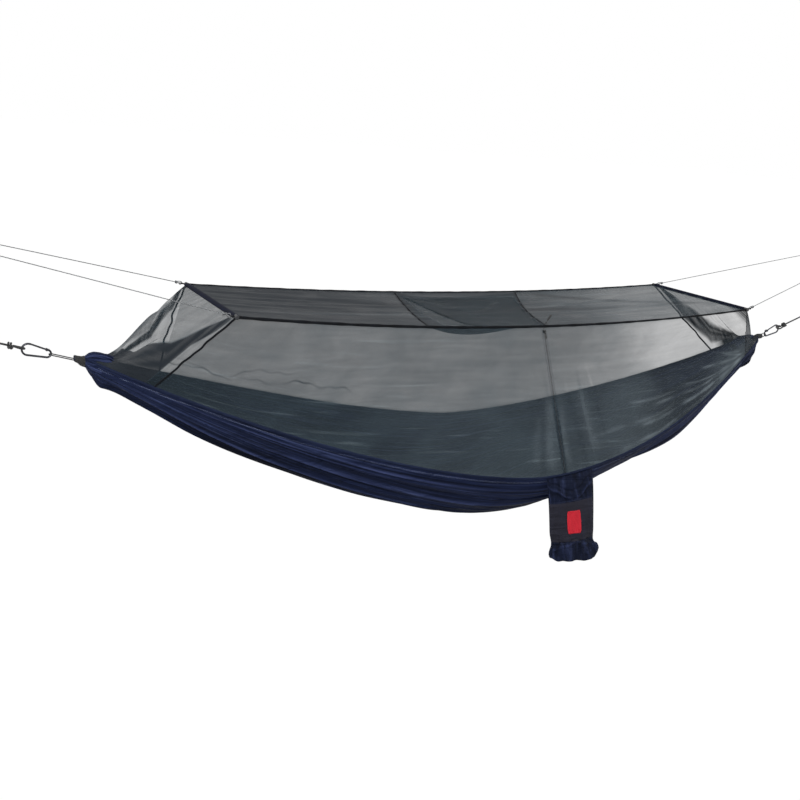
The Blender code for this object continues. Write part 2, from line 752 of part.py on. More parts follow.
def make_corner_tape(hammock, end, side):
    top, foot = bar_end(end, side), corner_point(end, side)
    axis = unit(foot - top)
    shares = all_shares(side)
    position = len(NECK_COLUMN_SHARES) if end == LEFT else -1 - len(NECK_COLUMN_SHARES)
    before = rim_point(side, shares[position - 1])
    after = rim_point(side, shares[position + 1])
    lean = abs(np.dot(axis, unit(after - before)))
    slant = math.sqrt(1 - lean ** 2)
    top = top + axis * (CAP_RADIUS + CLEARANCE + CORNER_TAPE_RADIUS)
    foot = foot - axis * (RIM_RADIUS + CLEARANCE + CORNER_TAPE_RADIUS * lean) / slant
    add_cord(f"{END_NAMES[end]}_{SIDE_NAMES[side]}_corner_tape", [top, foot],
             CORNER_TAPE_RADIUS, "net_binding", hammock)


def lens_ring(centre):
    ring = []
    for k in range(TUNNEL_SIDES):
        angle = 2 * math.pi * k / TUNNEL_SIDES
        across = TUNNEL_HALF_WIDTH * math.cos(angle)
        bulge = abs(math.sin(angle)) ** TUNNEL_BULGE_POWER
        high = TUNNEL_EDGE + (TUNNEL_HALF_HEIGHT - TUNNEL_EDGE) * bulge
        ring.append(centre + X_AXIS * across + Z_AXIS * math.copysign(high, math.sin(angle)))
    return np.array(ring)


def make_bar(hammock, end):
    name = END_NAMES[end]
    middle = np.array((end * BAR_FROM_MIDDLE, 0.0, BAR_RISE))
    half = BAR_HALF_LENGTH - CAP_INNER_REACH - CLEARANCE
    ends = (middle + Y_AXIS * half, middle - Y_AXIS * half)
    outer = [lens_ring(place) for place in ends]
    inner = [circle(place, TUNNEL_RADIUS, X_AXIS, Z_AXIS, TUNNEL_SIDES) for place in ends]
    add_mesh(f"{name}_bar_tunnel", *bridge_rings([outer[0], outer[1], inner[1], inner[0]], True),
             "net_binding", hammock)
    bore = FERRULE_RADIUS - BAR_WALL + CLEARANCE
    for side in (NEAR, FAR):
        sign = SIDE_SIGNS[side]
        inside = middle + Y_AXIS * sign * CLEARANCE
        outside = middle + Y_AXIS * sign * half
        first, last = (inside, outside) if sign < 0 else (outside, inside)
        rings = [circle(first, BAR_RADIUS, X_AXIS, Z_AXIS, BAR_SIDES),
                 circle(last, BAR_RADIUS, X_AXIS, Z_AXIS, BAR_SIDES),
                 circle(last, bore, X_AXIS, Z_AXIS, BAR_SIDES),
                 circle(first, bore, X_AXIS, Z_AXIS, BAR_SIDES)]
        add_mesh(f"{name}_{SIDE_NAMES[side]}_bar", *bridge_rings(rings, True), "aluminium",
                 hammock)
        make_cap(hammock, end, side)
    reach = FERRULE_HALF_LENGTH
    plug = turned(middle - Y_AXIS * reach, Y_AXIS,
                  ((0, bore - CLEARANCE), (2 * reach, bore - CLEARANCE)), BAR_SIDES)
    add_mesh(f"{name}_bar_ferrule", *plug, "aluminium", hammock)


def make_cap(hammock, end, side):
    hub = bar_end(end, side)
    outward = Y_AXIS * SIDE_SIGNS[side]
    start = hub - outward * CAP_INNER_REACH
    length = CAP_INNER_REACH + CAP_OUTER_REACH
    rounding = CAP_ROUNDING_SHARE * CAP_RADIUS
    profile = ((0, CAP_RADIUS), (length - rounding, CAP_RADIUS), (length, CAP_RADIUS - rounding))
    name = f"{END_NAMES[end]}_{SIDE_NAMES[side]}"
    add_mesh(f"{name}_bar_cap", *turned(start, outward, profile, BAR_SIDES), "black_plastic",
             hammock)
    anchor = np.array((end * GUY_ANCHOR_FROM_MIDDLE, 0.0, GUY_ANCHOR_RISE))
    pull = unit(anchor - hub)
    flat = unit(np.cross(pull, Y_AXIS)) * -end
    centre = hub + pull * (CAP_RADIUS + CLEARANCE + GUY_RING_RADIUS + GUY_RING_WIRE)
    add_mesh(f"{name}_guy_ring", *torus(centre, flat, GUY_RING_RADIUS, GUY_RING_WIRE),
             "net_binding", hammock)
    wire = centre + pull * GUY_RING_RADIUS
    bearing = wire - pull * (GUY_RING_WIRE + GUY_RADIUS + CLEARANCE)
    near_end = tied_eye(bearing, pull, flat, GUY_RADIUS, GUY_EYE_RADIUS)
    share = GUY_SHARES[name]
    tip = hub + (anchor - hub) * share
    far_end = tied_eye(tip, -pull, flat, GUY_RADIUS, GUY_EYE_RADIUS)
    points = near_end + far_end[::-1]
    print(f"{name}_guy least gap {least_gap(points, 2 * GUY_RADIUS) * 1000:.2f} mm")
    add_cord(f"{name}_guy", points, GUY_RADIUS, "guy_cord", hammock)


def make_rope(ropes, end):
    axis = rope_axis(end)
    across = np.cross(axis, Y_AXIS)
    side = math.cos(ROPE_EYE_TWIST) * Y_AXIS + math.sin(ROPE_EYE_TWIST) * across
    clip = gather_point(end) + axis * (clip_reach(end) - HOOK_ROD_RADIUS - CONTACT_GAP - ROPE_RADIUS)
    bearing = anchor_bearing(end) + axis * ROPE_RADIUS
    near_end = tied_eye(clip, axis, side, ROPE_RADIUS, ROPE_EYE_RADIUS)
    far_end = tied_eye(bearing, -axis, side, ROPE_RADIUS, ROPE_EYE_RADIUS)
    points = near_end + far_end[::-1]
    print(f"{END_NAMES[end]}_rope least gap {least_gap(points, 2 * ROPE_RADIUS) * 1000:.2f} mm")
    add_cord(f"{END_NAMES[end]}_rope", points, ROPE_RADIUS, "black_cord", ropes)


def make_knot(hammock, end):
    face = np.array((end * (SPAN / 2 + KNOT_FACE_GAP), 0.0, -KNOT_DROP))
    profile = [(0, KNOT_RADIUS - KNOT_GROOVE)]
    for k in range(KNOT_RIBS):
        start = KNOT_LENGTH * k / KNOT_RIBS
        width = KNOT_LENGTH / KNOT_RIBS
        profile += [(start + width * share, KNOT_RADIUS) for share in KNOT_FLAT_SHARES]
        profile.append((start + width, KNOT_RADIUS - KNOT_GROOVE))
    axis = X_AXIS * end
    add_mesh(f"{END_NAMES[end]}_knot", *turned(face, axis, profile, KNOT_SIDES), "black_cord",
             hammock)
    make_loop(hammock, end)


def make_loop(hammock, end):
    axis = rope_axis(end)
    across = np.cross(axis, Y_AXIS)
    side = math.cos(LOOP_TWIST) * Y_AXIS + math.sin(LOOP_TWIST) * across
    rod = gather_point(end) + axis * (clip_reach(end) - HOOK_LENGTH)
    apex = rod + axis * (HOOK_ROD_RADIUS + CONTACT_GAP + LOOP_RADIUS)
    bend = apex - axis * LOOP_HALF_WIDTH
    outer = SPAN / 2 + KNOT_FACE_GAP + KNOT_LENGTH + CLEARANCE
    lean = LOOP_RADIUS * abs(axis[2])
    points = []
    for k in range(LOOP_POINTS):
        angle = math.pi * k / (LOOP_POINTS - 1)
        points.append(bend + LOOP_HALF_WIDTH * (math.cos(angle) * side + math.sin(angle) * axis))
    first, last = (place - axis * (abs(place[0]) - outer - lean) / abs(axis[0])
                   for place in (points[0], points[-1]))
    points = [first] + points + [last]
    add_cord(f"{END_NAMES[end]}_loop", points, LOOP_RADIUS, "black_cord", hammock)


def hook_frame(end):
    axis = rope_axis(end)
    up = np.array((-axis[2] * end, 0.0, abs(axis[0])))
    origin = gather_point(end) + axis * (clip_reach(end) - HOOK_LENGTH)
    return origin, axis, up


def make_hook(hammock, end):
    origin, axis, up = hook_frame(end)
    name = END_NAMES[end]
    wide_at = HOOK_LENGTH - HOOK_WIDE_RADIUS
    pivot = origin + axis * (HOOK_NARROW_RADIUS + EAR_RADIUS) + up * HOOK_NARROW_RADIUS
    points = []
    bends = ((HOOK_NARROW_RADIUS, HOOK_NARROW_RADIUS, math.pi / 2),
             (wide_at, HOOK_WIDE_RADIUS, -math.pi / 2))
    for centre, radius, start in bends:
        for k in range(HOOK_BEND_POINTS):
            angle = start + math.pi * k / (HOOK_BEND_POINTS - 1)
            points.append(origin + axis * (centre + radius * math.cos(angle))
                          + up * radius * math.sin(angle))
    nose = points[-1]
    points.append(nose - axis * EAR_RADIUS)
    hook = add_mesh(f"{name}_snap_hook", *swept(points, HOOK_ROD_RADIUS, HOOK_SIDES, Y_AXIS * end),
                    "black_steel", hammock)
    ear_at = GATE_BOSS_THICKNESS / 2 + CLEARANCE
    parts = []
    back = pivot - axis * EAR_RADIUS
    high = EAR_RADIUS * EAR_HEIGHT_SHARE
    for sign in (-1, 1):
        middle = ear_at + EAR_THICKNESS / 2
        parts.append(turned(pivot + Y_AXIS * sign * ear_at, Y_AXIS * sign,
                            ((0, EAR_RADIUS), (EAR_THICKNESS, EAR_RADIUS)), HOOK_SIDES))
        parts.append(box(back + Y_AXIS * sign * middle,
                         (EAR_RADIUS, EAR_THICKNESS / 2, high), (axis, Y_AXIS, up)))
    reach = ear_at + EAR_THICKNESS / 2
    parts.append(turned(pivot - Y_AXIS * reach, Y_AXIS,
                        ((0, GATE_PIN_RADIUS), (2 * reach, GATE_PIN_RADIUS)), HOOK_SIDES))
    parts.append(box(back - axis * EAR_RADIUS * BRIDGE_PLACE_SHARE,
                     (EAR_RADIUS * BRIDGE_LENGTH_SHARE, reach + EAR_THICKNESS / 2, high),
                     (axis, Y_AXIS, up)))
    combine(hook, parts, "UNION")
    make_gate(hammock, end, pivot, nose - axis * (EAR_RADIUS + CLEARANCE))


def make_gate(hammock, end, pivot, tip):
    holder = make_empty(f"{END_NAMES[end]}_gate_pivot", pivot, hammock)
    axis = unit(tip - pivot)
    length = np.linalg.norm(tip - pivot)
    lean = GATE_RADIUS * abs(np.dot(unit(rope_axis(end)), square_to(axis)[1]))
    root = (GATE_BORE_RADIUS + GATE_BOSS_RADIUS) / 2
    profile = ((root, GATE_RADIUS), (length - lean, GATE_RADIUS))
    gate = add_mesh(f"{END_NAMES[end]}_gate", *turned(pivot, axis, profile, HOOK_SIDES),
                    "black_steel", holder, pivot)
    half = GATE_BOSS_THICKNESS / 2
    boss = turned(-Y_AXIS * half, Y_AXIS,
                  ((0, GATE_BOSS_RADIUS), (2 * half, GATE_BOSS_RADIUS)), HOOK_SIDES)
    bore = turned(-Y_AXIS * (half + OVERRUN), Y_AXIS,
                  ((0, GATE_BORE_RADIUS), (2 * (half + OVERRUN), GATE_BORE_RADIUS)), HOOK_SIDES)
    combine(gate, [boss], "UNION")
    combine(gate, [bore], "DIFFERENCE")


# The zip's frame: its head on the top seam, its direction down the wall, across it to the
# right and out of the tent, and its length.
def zip_frame():
    head = top_point(NEAR, ZIP_HEAD_SHARE)
    foot = rim_point(NEAR, ZIP_FOOT_SHARE)
    down = unit(foot - head)
    across = unit(X_AXIS - np.dot(X_AXIS, down) * down)
    return head, down, across, np.cross(down, across), np.linalg.norm(foot - head)


def make_zip(hammock):
    head, down, across, out, length = zip_frame()
    coil = ZIP_SLIT / 2 + ZIP_COIL_WIDTH
    edge = ZIP_SLIT / 2 + ZIP_TAPE_WIDTH
    seams = (top_point, rim_point)
    spots = ((NEAR, top_shares()), (NEAR, wall_shares(NEAR)))
    leans = []
    for seam, (side, shares) in zip(seams, spots):
        middle = len(COLUMN_SHARES)
        run = unit(seam(side, shares[middle + 1]) - seam(side, shares[middle - 1]))
        leans.append(abs(np.dot(run, down)) * edge + ZIP_TAPE_THICKNESS)
    start = head + down * (TOP_TAPE_RADIUS + CLEARANCE + leans[0])
    stop = head + down * (length - RIM_RADIUS - CLEARANCE - leans[1])
    profile = ((ZIP_SLIT / 2, -ZIP_COIL_THICKNESS / 2), (coil, -ZIP_COIL_THICKNESS / 2),
               (coil, -ZIP_TAPE_THICKNESS / 2), (edge, -ZIP_TAPE_THICKNESS / 2),
               (edge, ZIP_TAPE_THICKNESS / 2), (coil, ZIP_TAPE_THICKNESS / 2),
               (coil, ZIP_COIL_THICKNESS / 2), (ZIP_SLIT / 2, ZIP_COIL_THICKNESS / 2))
    for end in (LEFT, RIGHT):
        rings = []
        for place in (start, stop):
            ring = [place + across * end * a + out * b for a, b in profile]
            rings.append(np.array(ring if end == RIGHT else ring[::-1]))
        add_mesh(f"zip_tape_{END_NAMES[end]}", *bridge_rings(rings), "net_binding", hammock,
                 smooth=False)


def make_slider(hammock):
    head, down, across, out, length = zip_frame()
    pivot = head + down * ZIP_SLIDER_REACH
    axes = (across, down, out)
    plate_at = ZIP_COIL_THICKNESS / 2 + CLEARANCE + SLIDER_PLATE / 2
    carrier = make_empty("zip_slider_carrier", pivot, hammock)
    shapes = []
    for sign in (1, -1):
        shapes.append(box(out * sign * plate_at,
                          (SLIDER_WIDTH / 2, SLIDER_LENGTH / 2, SLIDER_PLATE / 2), axes))
    shapes.append(box(0 * out, (SLIDER_POST_WIDTH / 2, SLIDER_POST_LENGTH / 2, plate_at), axes))
    deck = plate_at + SLIDER_PLATE / 2
    bar_at = deck + BAIL_HEIGHT - BAIL_LEG / 2
    foot_at = deck - SLIDER_PLATE / 2
    slim = BAIL_LEG * BAIL_LEG_SHARE
    for sign in (-1, 1):
        leg = across * sign * (BAIL_WIDTH - BAIL_LEG) / 2
        shapes.append(box(leg + out * (foot_at + bar_at) / 2,
                          (slim, slim, (bar_at - foot_at) / 2), axes))
    shapes.append(box(out * bar_at, (BAIL_WIDTH / 2, BAIL_LEG / 2, BAIL_LEG / 2), axes))
    points, faces = shapes[0]
    slider = add_mesh("zip_slider", points, faces, "black_plastic", carrier, smooth=False)
    combine(slider, shapes[1:], "UNION")
    make_pull(carrier, pivot, out * bar_at, down, across)


# A pull's ring, cord, bead and barrel, turned about the line that it hangs along.
def make_pull(carrier, slider_at, bar, down, across):
    holder = make_empty("zip_pull_pivot", bar, carrier)
    ring_at = down * (PULL_RING_RADIUS - PULL_RING_WIRE - BAIL_LEG / 2 - CLEARANCE)
    ring = torus(ring_at, across, PULL_RING_RADIUS, PULL_RING_WIRE)
    pull = add_mesh("zip_pull", *ring, "black_cord", holder)
    top = np.dot(ring_at, down) + PULL_RING_RADIUS
    low, high = PULL_BARREL_REACHES
    bead = PULL_BEAD_RADIUS
    shoulder = bead * PULL_BEAD_SHOULDER_SHARE
    profile = ((top, PULL_CORD_RADIUS), (PULL_BEAD_REACH - bead, PULL_CORD_RADIUS),
               (PULL_BEAD_REACH - bead / 2, shoulder), (PULL_BEAD_REACH, bead),
               (PULL_BEAD_REACH + bead / 2, shoulder),
               (PULL_BEAD_REACH + bead, PULL_CORD_RADIUS), (low, PULL_CORD_RADIUS),
               (low + PULL_CORD_RADIUS, PULL_BARREL_RADIUS),
               (high - PULL_CORD_RADIUS, PULL_BARREL_RADIUS), (high, PULL_CORD_RADIUS))
    combine(pull, [turned(0 * down, down, profile, SMALL_SIDES)], "UNION")


def make_toggle(hammock):
    share = ZIP_HEAD_SHARE + STAPLE_FROM_ZIP / BAR_FROM_MIDDLE
    seat = top_point(NEAR, share)
    crest = seat + Z_AXIS * (TOP_TAPE_RADIUS + CLEARANCE)
    top = crest + Z_AXIS * STAPLE_HEIGHT
    half = STAPLE_HALF_WIDTH
    half_run = half - 2 * STAPLE_WIRE
    shoulder = top - Z_AXIS * STAPLE_WIRE
    points = [crest - X_AXIS * half, shoulder - X_AXIS * half, top - X_AXIS * half_run,
              top + X_AXIS * half_run, shoulder + X_AXIS * half, crest + X_AXIS * half]
    add_cord("tieback_staple", points, STAPLE_WIRE, "black_cord", hammock)
    holder = make_empty("tieback_toggle_pivot", top, hammock)
    axis = math.sin(TOGGLE_LEAN) * X_AXIS + math.cos(TOGGLE_LEAN) * Z_AXIS
    ring_at = Z_AXIS * (PULL_RING_RADIUS - PULL_RING_WIRE - STAPLE_WIRE - CLEARANCE)
    ring = torus(ring_at, X_AXIS, PULL_RING_RADIUS, PULL_RING_WIRE)
    toggle = add_mesh("tieback_toggle", *ring, "black_cord", holder)
    low, high = TOGGLE_REACHES
    start = ring_at + Z_AXIS * PULL_RING_RADIUS
    profile = ((0, PULL_CORD_RADIUS), (low, PULL_CORD_RADIUS),
               (low + PULL_CORD_RADIUS, TOGGLE_RADIUS),
               (high - PULL_CORD_RADIUS, TOGGLE_RADIUS), (high, PULL_CORD_RADIUS))
    combine(toggle, [turned(start, axis, profile, SMALL_SIDES)], "UNION")


# Where the sack's top edge is sewn under the near rim, at a place along X.
def sack_seat(x):
    lean = -math.sin(SACK_SEAT_LEAN) * Y_AXIS - math.cos(SACK_SEAT_LEAN) * Z_AXIS
    return rim_point(NEAR, 2 * x / SPAN) + lean * (RIM_RADIUS + CLEARANCE + SACK_TOP_RADIUS)


def sack_pivot():
    return sack_seat(SACK_MIDDLE_X)


def sack_sizes(depth):
    share = depth / SACK_LENGTH
    width = np.interp(share, SACK_LEVEL_SHARES, SACK_WIDTH_SHARES) * SACK_HALF_WIDTH
    deep = np.interp(share, SACK_LEVEL_SHARES, SACK_DEPTH_SHARES) * SACK_HALF_DEPTH
    return width, deep


# The sack's back hangs straight down from its top edge and its front stands out.
def sack_centre(depth):
    drop = np.array((SACK_LEAN_SHARE * depth, SACK_TOP_RADIUS - sack_sizes(depth)[1], -depth))
    return sack_pivot() + drop


# How the curve of the rim carries a place on the sack, less and less down to the mouth.
def sack_drape(aside, depth):
    pivot = sack_pivot()
    carried = sack_seat(pivot[0] + aside) - pivot
    carried[0] = 0.0
    return carried * (1 - depth / SACK_LENGTH) ** 2


def sack_ring(depth, inset):
    width, deep = sack_sizes(depth)
    points = []
    for k in range(SACK_SIDES):
        angle = 2 * math.pi * k / SACK_SIDES
        aside = math.cos(angle) * (width - inset)
        points.append(sack_centre(depth) + X_AXIS * aside + sack_drape(aside, depth)
                      + Y_AXIS * math.sin(angle) * (deep - inset))
    return np.array(points)


def make_sack(hammock):
    pivot = sack_pivot()
    holder = make_empty("stuff_sack_pivot", pivot, hammock)
    depths = [share * SACK_LENGTH for share in SACK_LEVEL_SHARES]
    outer = [sack_ring(depth, 0.0) for depth in depths]
    inner = [sack_ring(depth, SACK_WALL) for depth in depths[SACK_CLOSED_LEVELS:]]
    rings = [ring[::-1] for ring in outer + inner[::-1]]
    add_mesh("stuff_sack", *bridge_rings(rings), "navy_nylon", holder, pivot)
    grid = np.zeros((PATCH_COLUMNS, PATCH_ROWS, 3))
    lift = PATCH_THICKNESS / 2 + CLEARANCE
    for i in range(PATCH_COLUMNS):
        for j in range(PATCH_ROWS):
            depth = PATCH_CENTRE_DEPTH + PATCH_HEIGHT * (j / (PATCH_ROWS - 1) - 0.5)
            centre = sack_centre(depth)
            width, deep = sack_sizes(depth)
            offset = PATCH_WIDTH * (i / (PATCH_COLUMNS - 1) - 0.5) + PATCH_CENTRE_SIDE
            bulge = deep * math.sqrt(1 - (offset / width) ** 2)
            grid[i, j] = centre + X_AXIS * offset - Y_AXIS * (bulge + lift)
            grid[i, j] += sack_drape(offset, depth)
    add_sheet("sack_patch", grid, PATCH_THICKNESS, "red_patch", holder, pivot)


def make_part():
    clear_scene()
    shift = -anchor_bearing(LEFT)
    tent = make_empty("hammock_tent", shift)
    ropes = make_empty("ropes", (0, 0, 0), tent)
    hammock = make_empty("hammock", (0, 0, 0), tent)
    make_bed(hammock)
    make_net(hammock)
    make_seams(hammock)
    for end in (LEFT, RIGHT):
        make_bar(hammock, end)
        make_rope(ropes, end)
        make_knot(hammock, end)
        make_hook(hammock, end)
    make_zip(hammock)
    make_slider(hammock)
    make_toggle(hammock)
    make_sack(hammock)


make_part()
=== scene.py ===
import math

import bpy
import numpy as np
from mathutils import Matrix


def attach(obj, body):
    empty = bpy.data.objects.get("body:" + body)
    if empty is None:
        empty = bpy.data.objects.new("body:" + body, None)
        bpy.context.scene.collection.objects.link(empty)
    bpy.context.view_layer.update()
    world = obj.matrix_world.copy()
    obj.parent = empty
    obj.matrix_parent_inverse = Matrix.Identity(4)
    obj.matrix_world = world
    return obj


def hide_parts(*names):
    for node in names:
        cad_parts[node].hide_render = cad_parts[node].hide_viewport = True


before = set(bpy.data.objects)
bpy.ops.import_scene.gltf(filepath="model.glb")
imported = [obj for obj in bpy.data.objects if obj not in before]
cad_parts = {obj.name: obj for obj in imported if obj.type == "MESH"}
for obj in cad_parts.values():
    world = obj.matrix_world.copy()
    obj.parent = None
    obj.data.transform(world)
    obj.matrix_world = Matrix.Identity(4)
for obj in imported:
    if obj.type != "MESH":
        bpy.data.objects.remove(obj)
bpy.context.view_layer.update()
middle = np.array([1.67374, 0.0, -0.07414])  # half way between the two gathers
xAxis, yAxis, zAxis = np.eye(3)
near, far, left, right = 0, 1, -1, 1
sideNames, sideSigns = ("near", "far"), (-1, 1)
endNames = {left: "left", right: "right"}
fullTurn = 2 * math.pi
print("frame loaded")

view = {
    "place": (-0.18906, -2.8323, 0.65586),
    "upward": (0.05370, 0.28030, 0.95840),
    "backward": (-0.46330, -0.84330, 0.27250),
    "lens": 43.988, "sensor": 36.0,
}


# Vectors made one long.
def unit(v):
    v = np.asarray(v, dtype=float)
    return v / np.linalg.norm(v, axis=-1, keepdims=True)


# The matrix of a camera or lamp that stands at a spot and looks against its own Z.
def aimed(spot, back, up):
    back = unit(back)
    side = unit(np.cross(up, back))
    up = np.cross(back, side)
    rows = [[side[k], up[k], back[k], spot[k]] for k in range(3)] + [[0, 0, 0, 1]]
    return [list(map(float, column)) for column in zip(*rows)]


# The camera that the photograph was solved for.
def makeCamera():
    data = bpy.data.cameras.new("photoCamera")
    data.lens, data.sensor_width = view["lens"], view["sensor"]
    data.clip_start, data.clip_end = 0.05, 900.0
    camera = bpy.data.objects.new("photoCamera", data)
    bpy.context.collection.objects.link(camera)
    camera.matrix_world = aimed(view["place"], view["backward"], np.array(view["upward"]))
    bpy.context.scene.camera = camera


# Eases from none at the start to one at the end: three squares of the way less two cubes.
def smooth(value, start, end):
    t = np.clip((value - start) / (end - start), 0, 1)
    return t * t * (3 - 2 * t)


# One from first to last and none beyond, with a soft step of half width at each.
def between(value, first, firstHalf, last, lastHalf):
    return (smooth(value, first - firstHalf, first + firstHalf)
            * (1 - smooth(value, last - lastHalf, last + lastHalf)))


# One where a distance is none, dying away at a half width.
def bell(distance, halfWidth, power=2):
    return np.exp(-(np.abs(distance) / halfWidth) ** power)


# What lies a share t of the way from a to b.
def blend(a, b, t):
    return a + (b - a) * t


# A sum of waves over two ways a and b, from rows of turns along each, shift and height.
def waves(rows, a, b=0.0):
    return sum(height * np.sin(alongA * a + alongB * b + shift)
               for alongA, alongB, shift, height in rows)


# Where a crease runs between places of a grid: one at its line, none beyond its half width.
def crease(u, v, line, halfWidth):
    (u0, v0), (u1, v1) = line
    t = np.clip((u - u0) / (u1 - u0), 0, 1)
    return between(u, u0, 0.03, u1, 0.03) * bell(v - blend(v0, v1, t), halfWidth)


# An sRGB hex value, turned to linear colour.
def srgb(text):
    values = np.array([int(text[i:i + 2], 16) for i in (1, 3, 5)]) / 255
    linear = np.where(values <= 0.04045, values / 12.92, ((values + 0.055) / 1.055) ** 2.4)
    return (*map(float, linear), 1.0)


# Fills a colour ramp with rows of position and tone, which is a hex value or a grey.
def fillRamp(elements, stops):
    while len(elements) < len(stops):
        elements.new(0.5)
    for element, (position, tone) in zip(elements, stops):
        element.position = position
        element.color = srgb(tone) if isinstance(tone, str) else (tone, tone, tone, 1.0)


# A link is a node, for its first output, or a pair of a node and the name of its output.
def addNode(tree, kind, settings=None, links=None):
    node = tree.nodes.new("ShaderNode" + kind)
    for key, value in (settings or {}).items():
        if key == "stops":
            fillRamp(node.color_ramp.elements, value)
        elif isinstance(key, str) and hasattr(node, key):
            setattr(node, key, value)
        else:
            node.inputs[key].default_value = value
    for key, link in (links or {}).items():
        source, output = link if isinstance(link, tuple) else (link, 0)
        tree.links.new(source.outputs[output], node.inputs[key])
    return node


# A new material, with the places that its patterns are drawn over: metres along the surface,
# the same split into X and Y, and metres of the piece.
def newMaterial(name, **settings):
    material = bpy.data.materials.new(name)
    material.use_nodes = True
    tree = material.node_tree
    shader = tree.nodes["Principled BSDF"]
    for key, value in settings.items():
        shader.inputs[key.replace("_", " ")].default_value = value
    surface = addNode(tree, "UVMap", {"uv_map": "surface"})
    split = addNode(tree, "SeparateXYZ", {}, {0: surface})
    return material, tree, shader, surface, split, (addNode(tree, "TexCoord"), "Object")


# Clouds or streaks: noise with so many turns to a metre along each axis.
def clouds(tree, source, turns, lean=0.0, **settings):
    drawn = addNode(tree, "Mapping", {"Scale": turns, "Rotation": (0.0, 0.0, lean)},
                    {"Vector": source})
    return addNode(tree, "TexNoise", {"Scale": 1.0, **settings}, {"Vector": drawn})


# Threads or ribs: a wave along one axis of the surface, with a turn to each spacing.
def threadWave(tree, split, axis, spacing, kind="COSINE"):
    turns = addNode(tree, "Math", {"operation": "MULTIPLY", 1: fullTurn / spacing},
                    {0: (split, axis)})
    return addNode(tree, "Math", {"operation": kind}, {0: turns})


# Mixes a colour into a tone: where a pattern is high, or where the stops say.
def tint(tree, tone, colour, pattern, stops=None):
    if stops:
        pattern = addNode(tree, "ValToRGB", {"stops": stops}, {"Fac": pattern})
    return addNode(tree, "MixRGB", {"Color2": srgb(colour)}, {"Fac": pattern, "Color1": tone})


# Joins a tone to the colour and a height to the relief, whose full rise is a distance.
def colourAndRelief(tree, shader, tone, height, strength, distance, **links):
    bump = addNode(tree, "Bump", {"Strength": strength, "Distance": distance},
                   {"Height": height, **links})
    tree.links.new(tone.outputs[0], shader.inputs["Base Color"])
    tree.links.new(bump.outputs[0], shader.inputs["Normal"])


# A cloud's values from start to end give the least to the most roughness.
def varyRoughness(tree, shader, cloud, start, end, least, most):
    rough = addNode(tree, "MapRange", {"From Min": start, "From Max": end, "To Min": least,
                                       "To Max": most}, {"Value": cloud})
    tree.links.new(rough.outputs[0], shader.inputs["Roughness"])


# Quads over a grid of points. A closed grid joins its last column to its first, and each cap
# is a row of it that becomes one face.
def gridMesh(name, points, uv, closed=False, caps=False):
    rows, columns = points.shape[:2]
    index = np.arange(rows * columns).reshape(rows, columns)
    if closed:
        index = np.concatenate((index, index[:, :1]), axis=1)
    high, wide = index.shape

    def cut(grid):  # the corners of each cell, in order round it
        return [grid[a:high - 1 + a, b:wide - 1 + b] for a, b in ((0, 0), (1, 0), (1, 1), (0, 1))]

    quads = np.stack(cut(index), axis=-1).reshape(-1, 4)
    loopUv = np.stack(cut(uv), axis=2).reshape(-1, 2)
    loops, sizes = quads.ravel(), np.full(len(quads), 4)
    if caps:
        loops = np.concatenate((loops, index[0, :columns][::-1], index[-1, :columns]))
        sizes = np.concatenate((sizes, [columns, columns]))
        loopUv = np.concatenate((loopUv, uv[0, :columns], uv[-1, :columns]))
    mesh = bpy.data.meshes.new(name)
    mesh.vertices.add(rows * columns)
    mesh.vertices.foreach_set("co", np.ascontiguousarray(points, dtype=np.float32).ravel())
    mesh.loops.add(len(loops))
    mesh.loops.foreach_set("vertex_index", loops.astype(np.int32))
    mesh.polygons.add(len(sizes))
    mesh.polygons.foreach_set("loop_start", (np.cumsum(sizes) - sizes).astype(np.int32))
    mesh.polygons.foreach_set("loop_total", sizes.astype(np.int32))
    layer = mesh.uv_layers.new(name="surface")
    layer.data.foreach_set("uv", loopUv.astype(np.float32).ravel())
    mesh.update(calc_edges=True)
    mesh.validate()
    mesh.shade_smooth()
    return mesh


# Makes a mesh a piece with a material, that rides on a body and takes the place of solids. Its
# thickness, if any, is laid on half to each side.
def place(name, mesh, material, body, replaced=(), thickness=0.0):
    piece = bpy.data.objects.new(name, mesh)
    bpy.context.collection.objects.link(piece)
    mesh.materials.append(material)
    if thickness:
        solid = piece.modifiers.new("thickness", "SOLIDIFY")
        solid.thickness, solid.offset = thickness, 0.0
    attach(piece, body)
    if replaced:
        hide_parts(*replaced)
    return piece


# Metres travelled along a path, or along one axis of a grid of points.
def travelled(points, axis=0):
    steps = np.linalg.norm(np.diff(points, axis=axis), axis=-1)
    start = np.zeros_like(np.take(steps, [0], axis=axis))
    return np.concatenate((start, np.cumsum(steps, axis=axis)), axis=axis)


# Metres along both ways of a grid.
def metreUv(points):
    return np.stack((travelled(points, 0), travelled(points, 1)), axis=-1)


# Metres along a tube and a share round it, which may be given as metres of girth.
def ringUv(along, sides, girth=1.0):
    v = np.arange(sides + 1) / sides * girth
    return np.stack(np.broadcast_arrays(along[:, None], v[None]), axis=-1)


# Values that the points carry for the materials.
def addValues(mesh, **layers):
    for name, values in layers.items():
        layer = mesh.attributes.new(name, "FLOAT", "POINT")
        layer.data.foreach_set("value", np.ascontiguousarray(values, dtype=np.float32).ravel())


# A sheet of cloth, with metres along both ways of it and the values that its points carry for
# the materials.
def sheetPiece(name, points, material, held, restsOn, replaced, slotName="net_mesh",
               thickness=0.0, body="hammock", **layers):
    uv = metreUv(points)
    mesh = gridMesh(name, points, uv)
    shape = points.shape[:2]
    addValues(mesh, **{key: np.broadcast_to(values, shape) for key, values in layers.items()})
    piece = place(name, mesh, material, body, replaced, thickness)


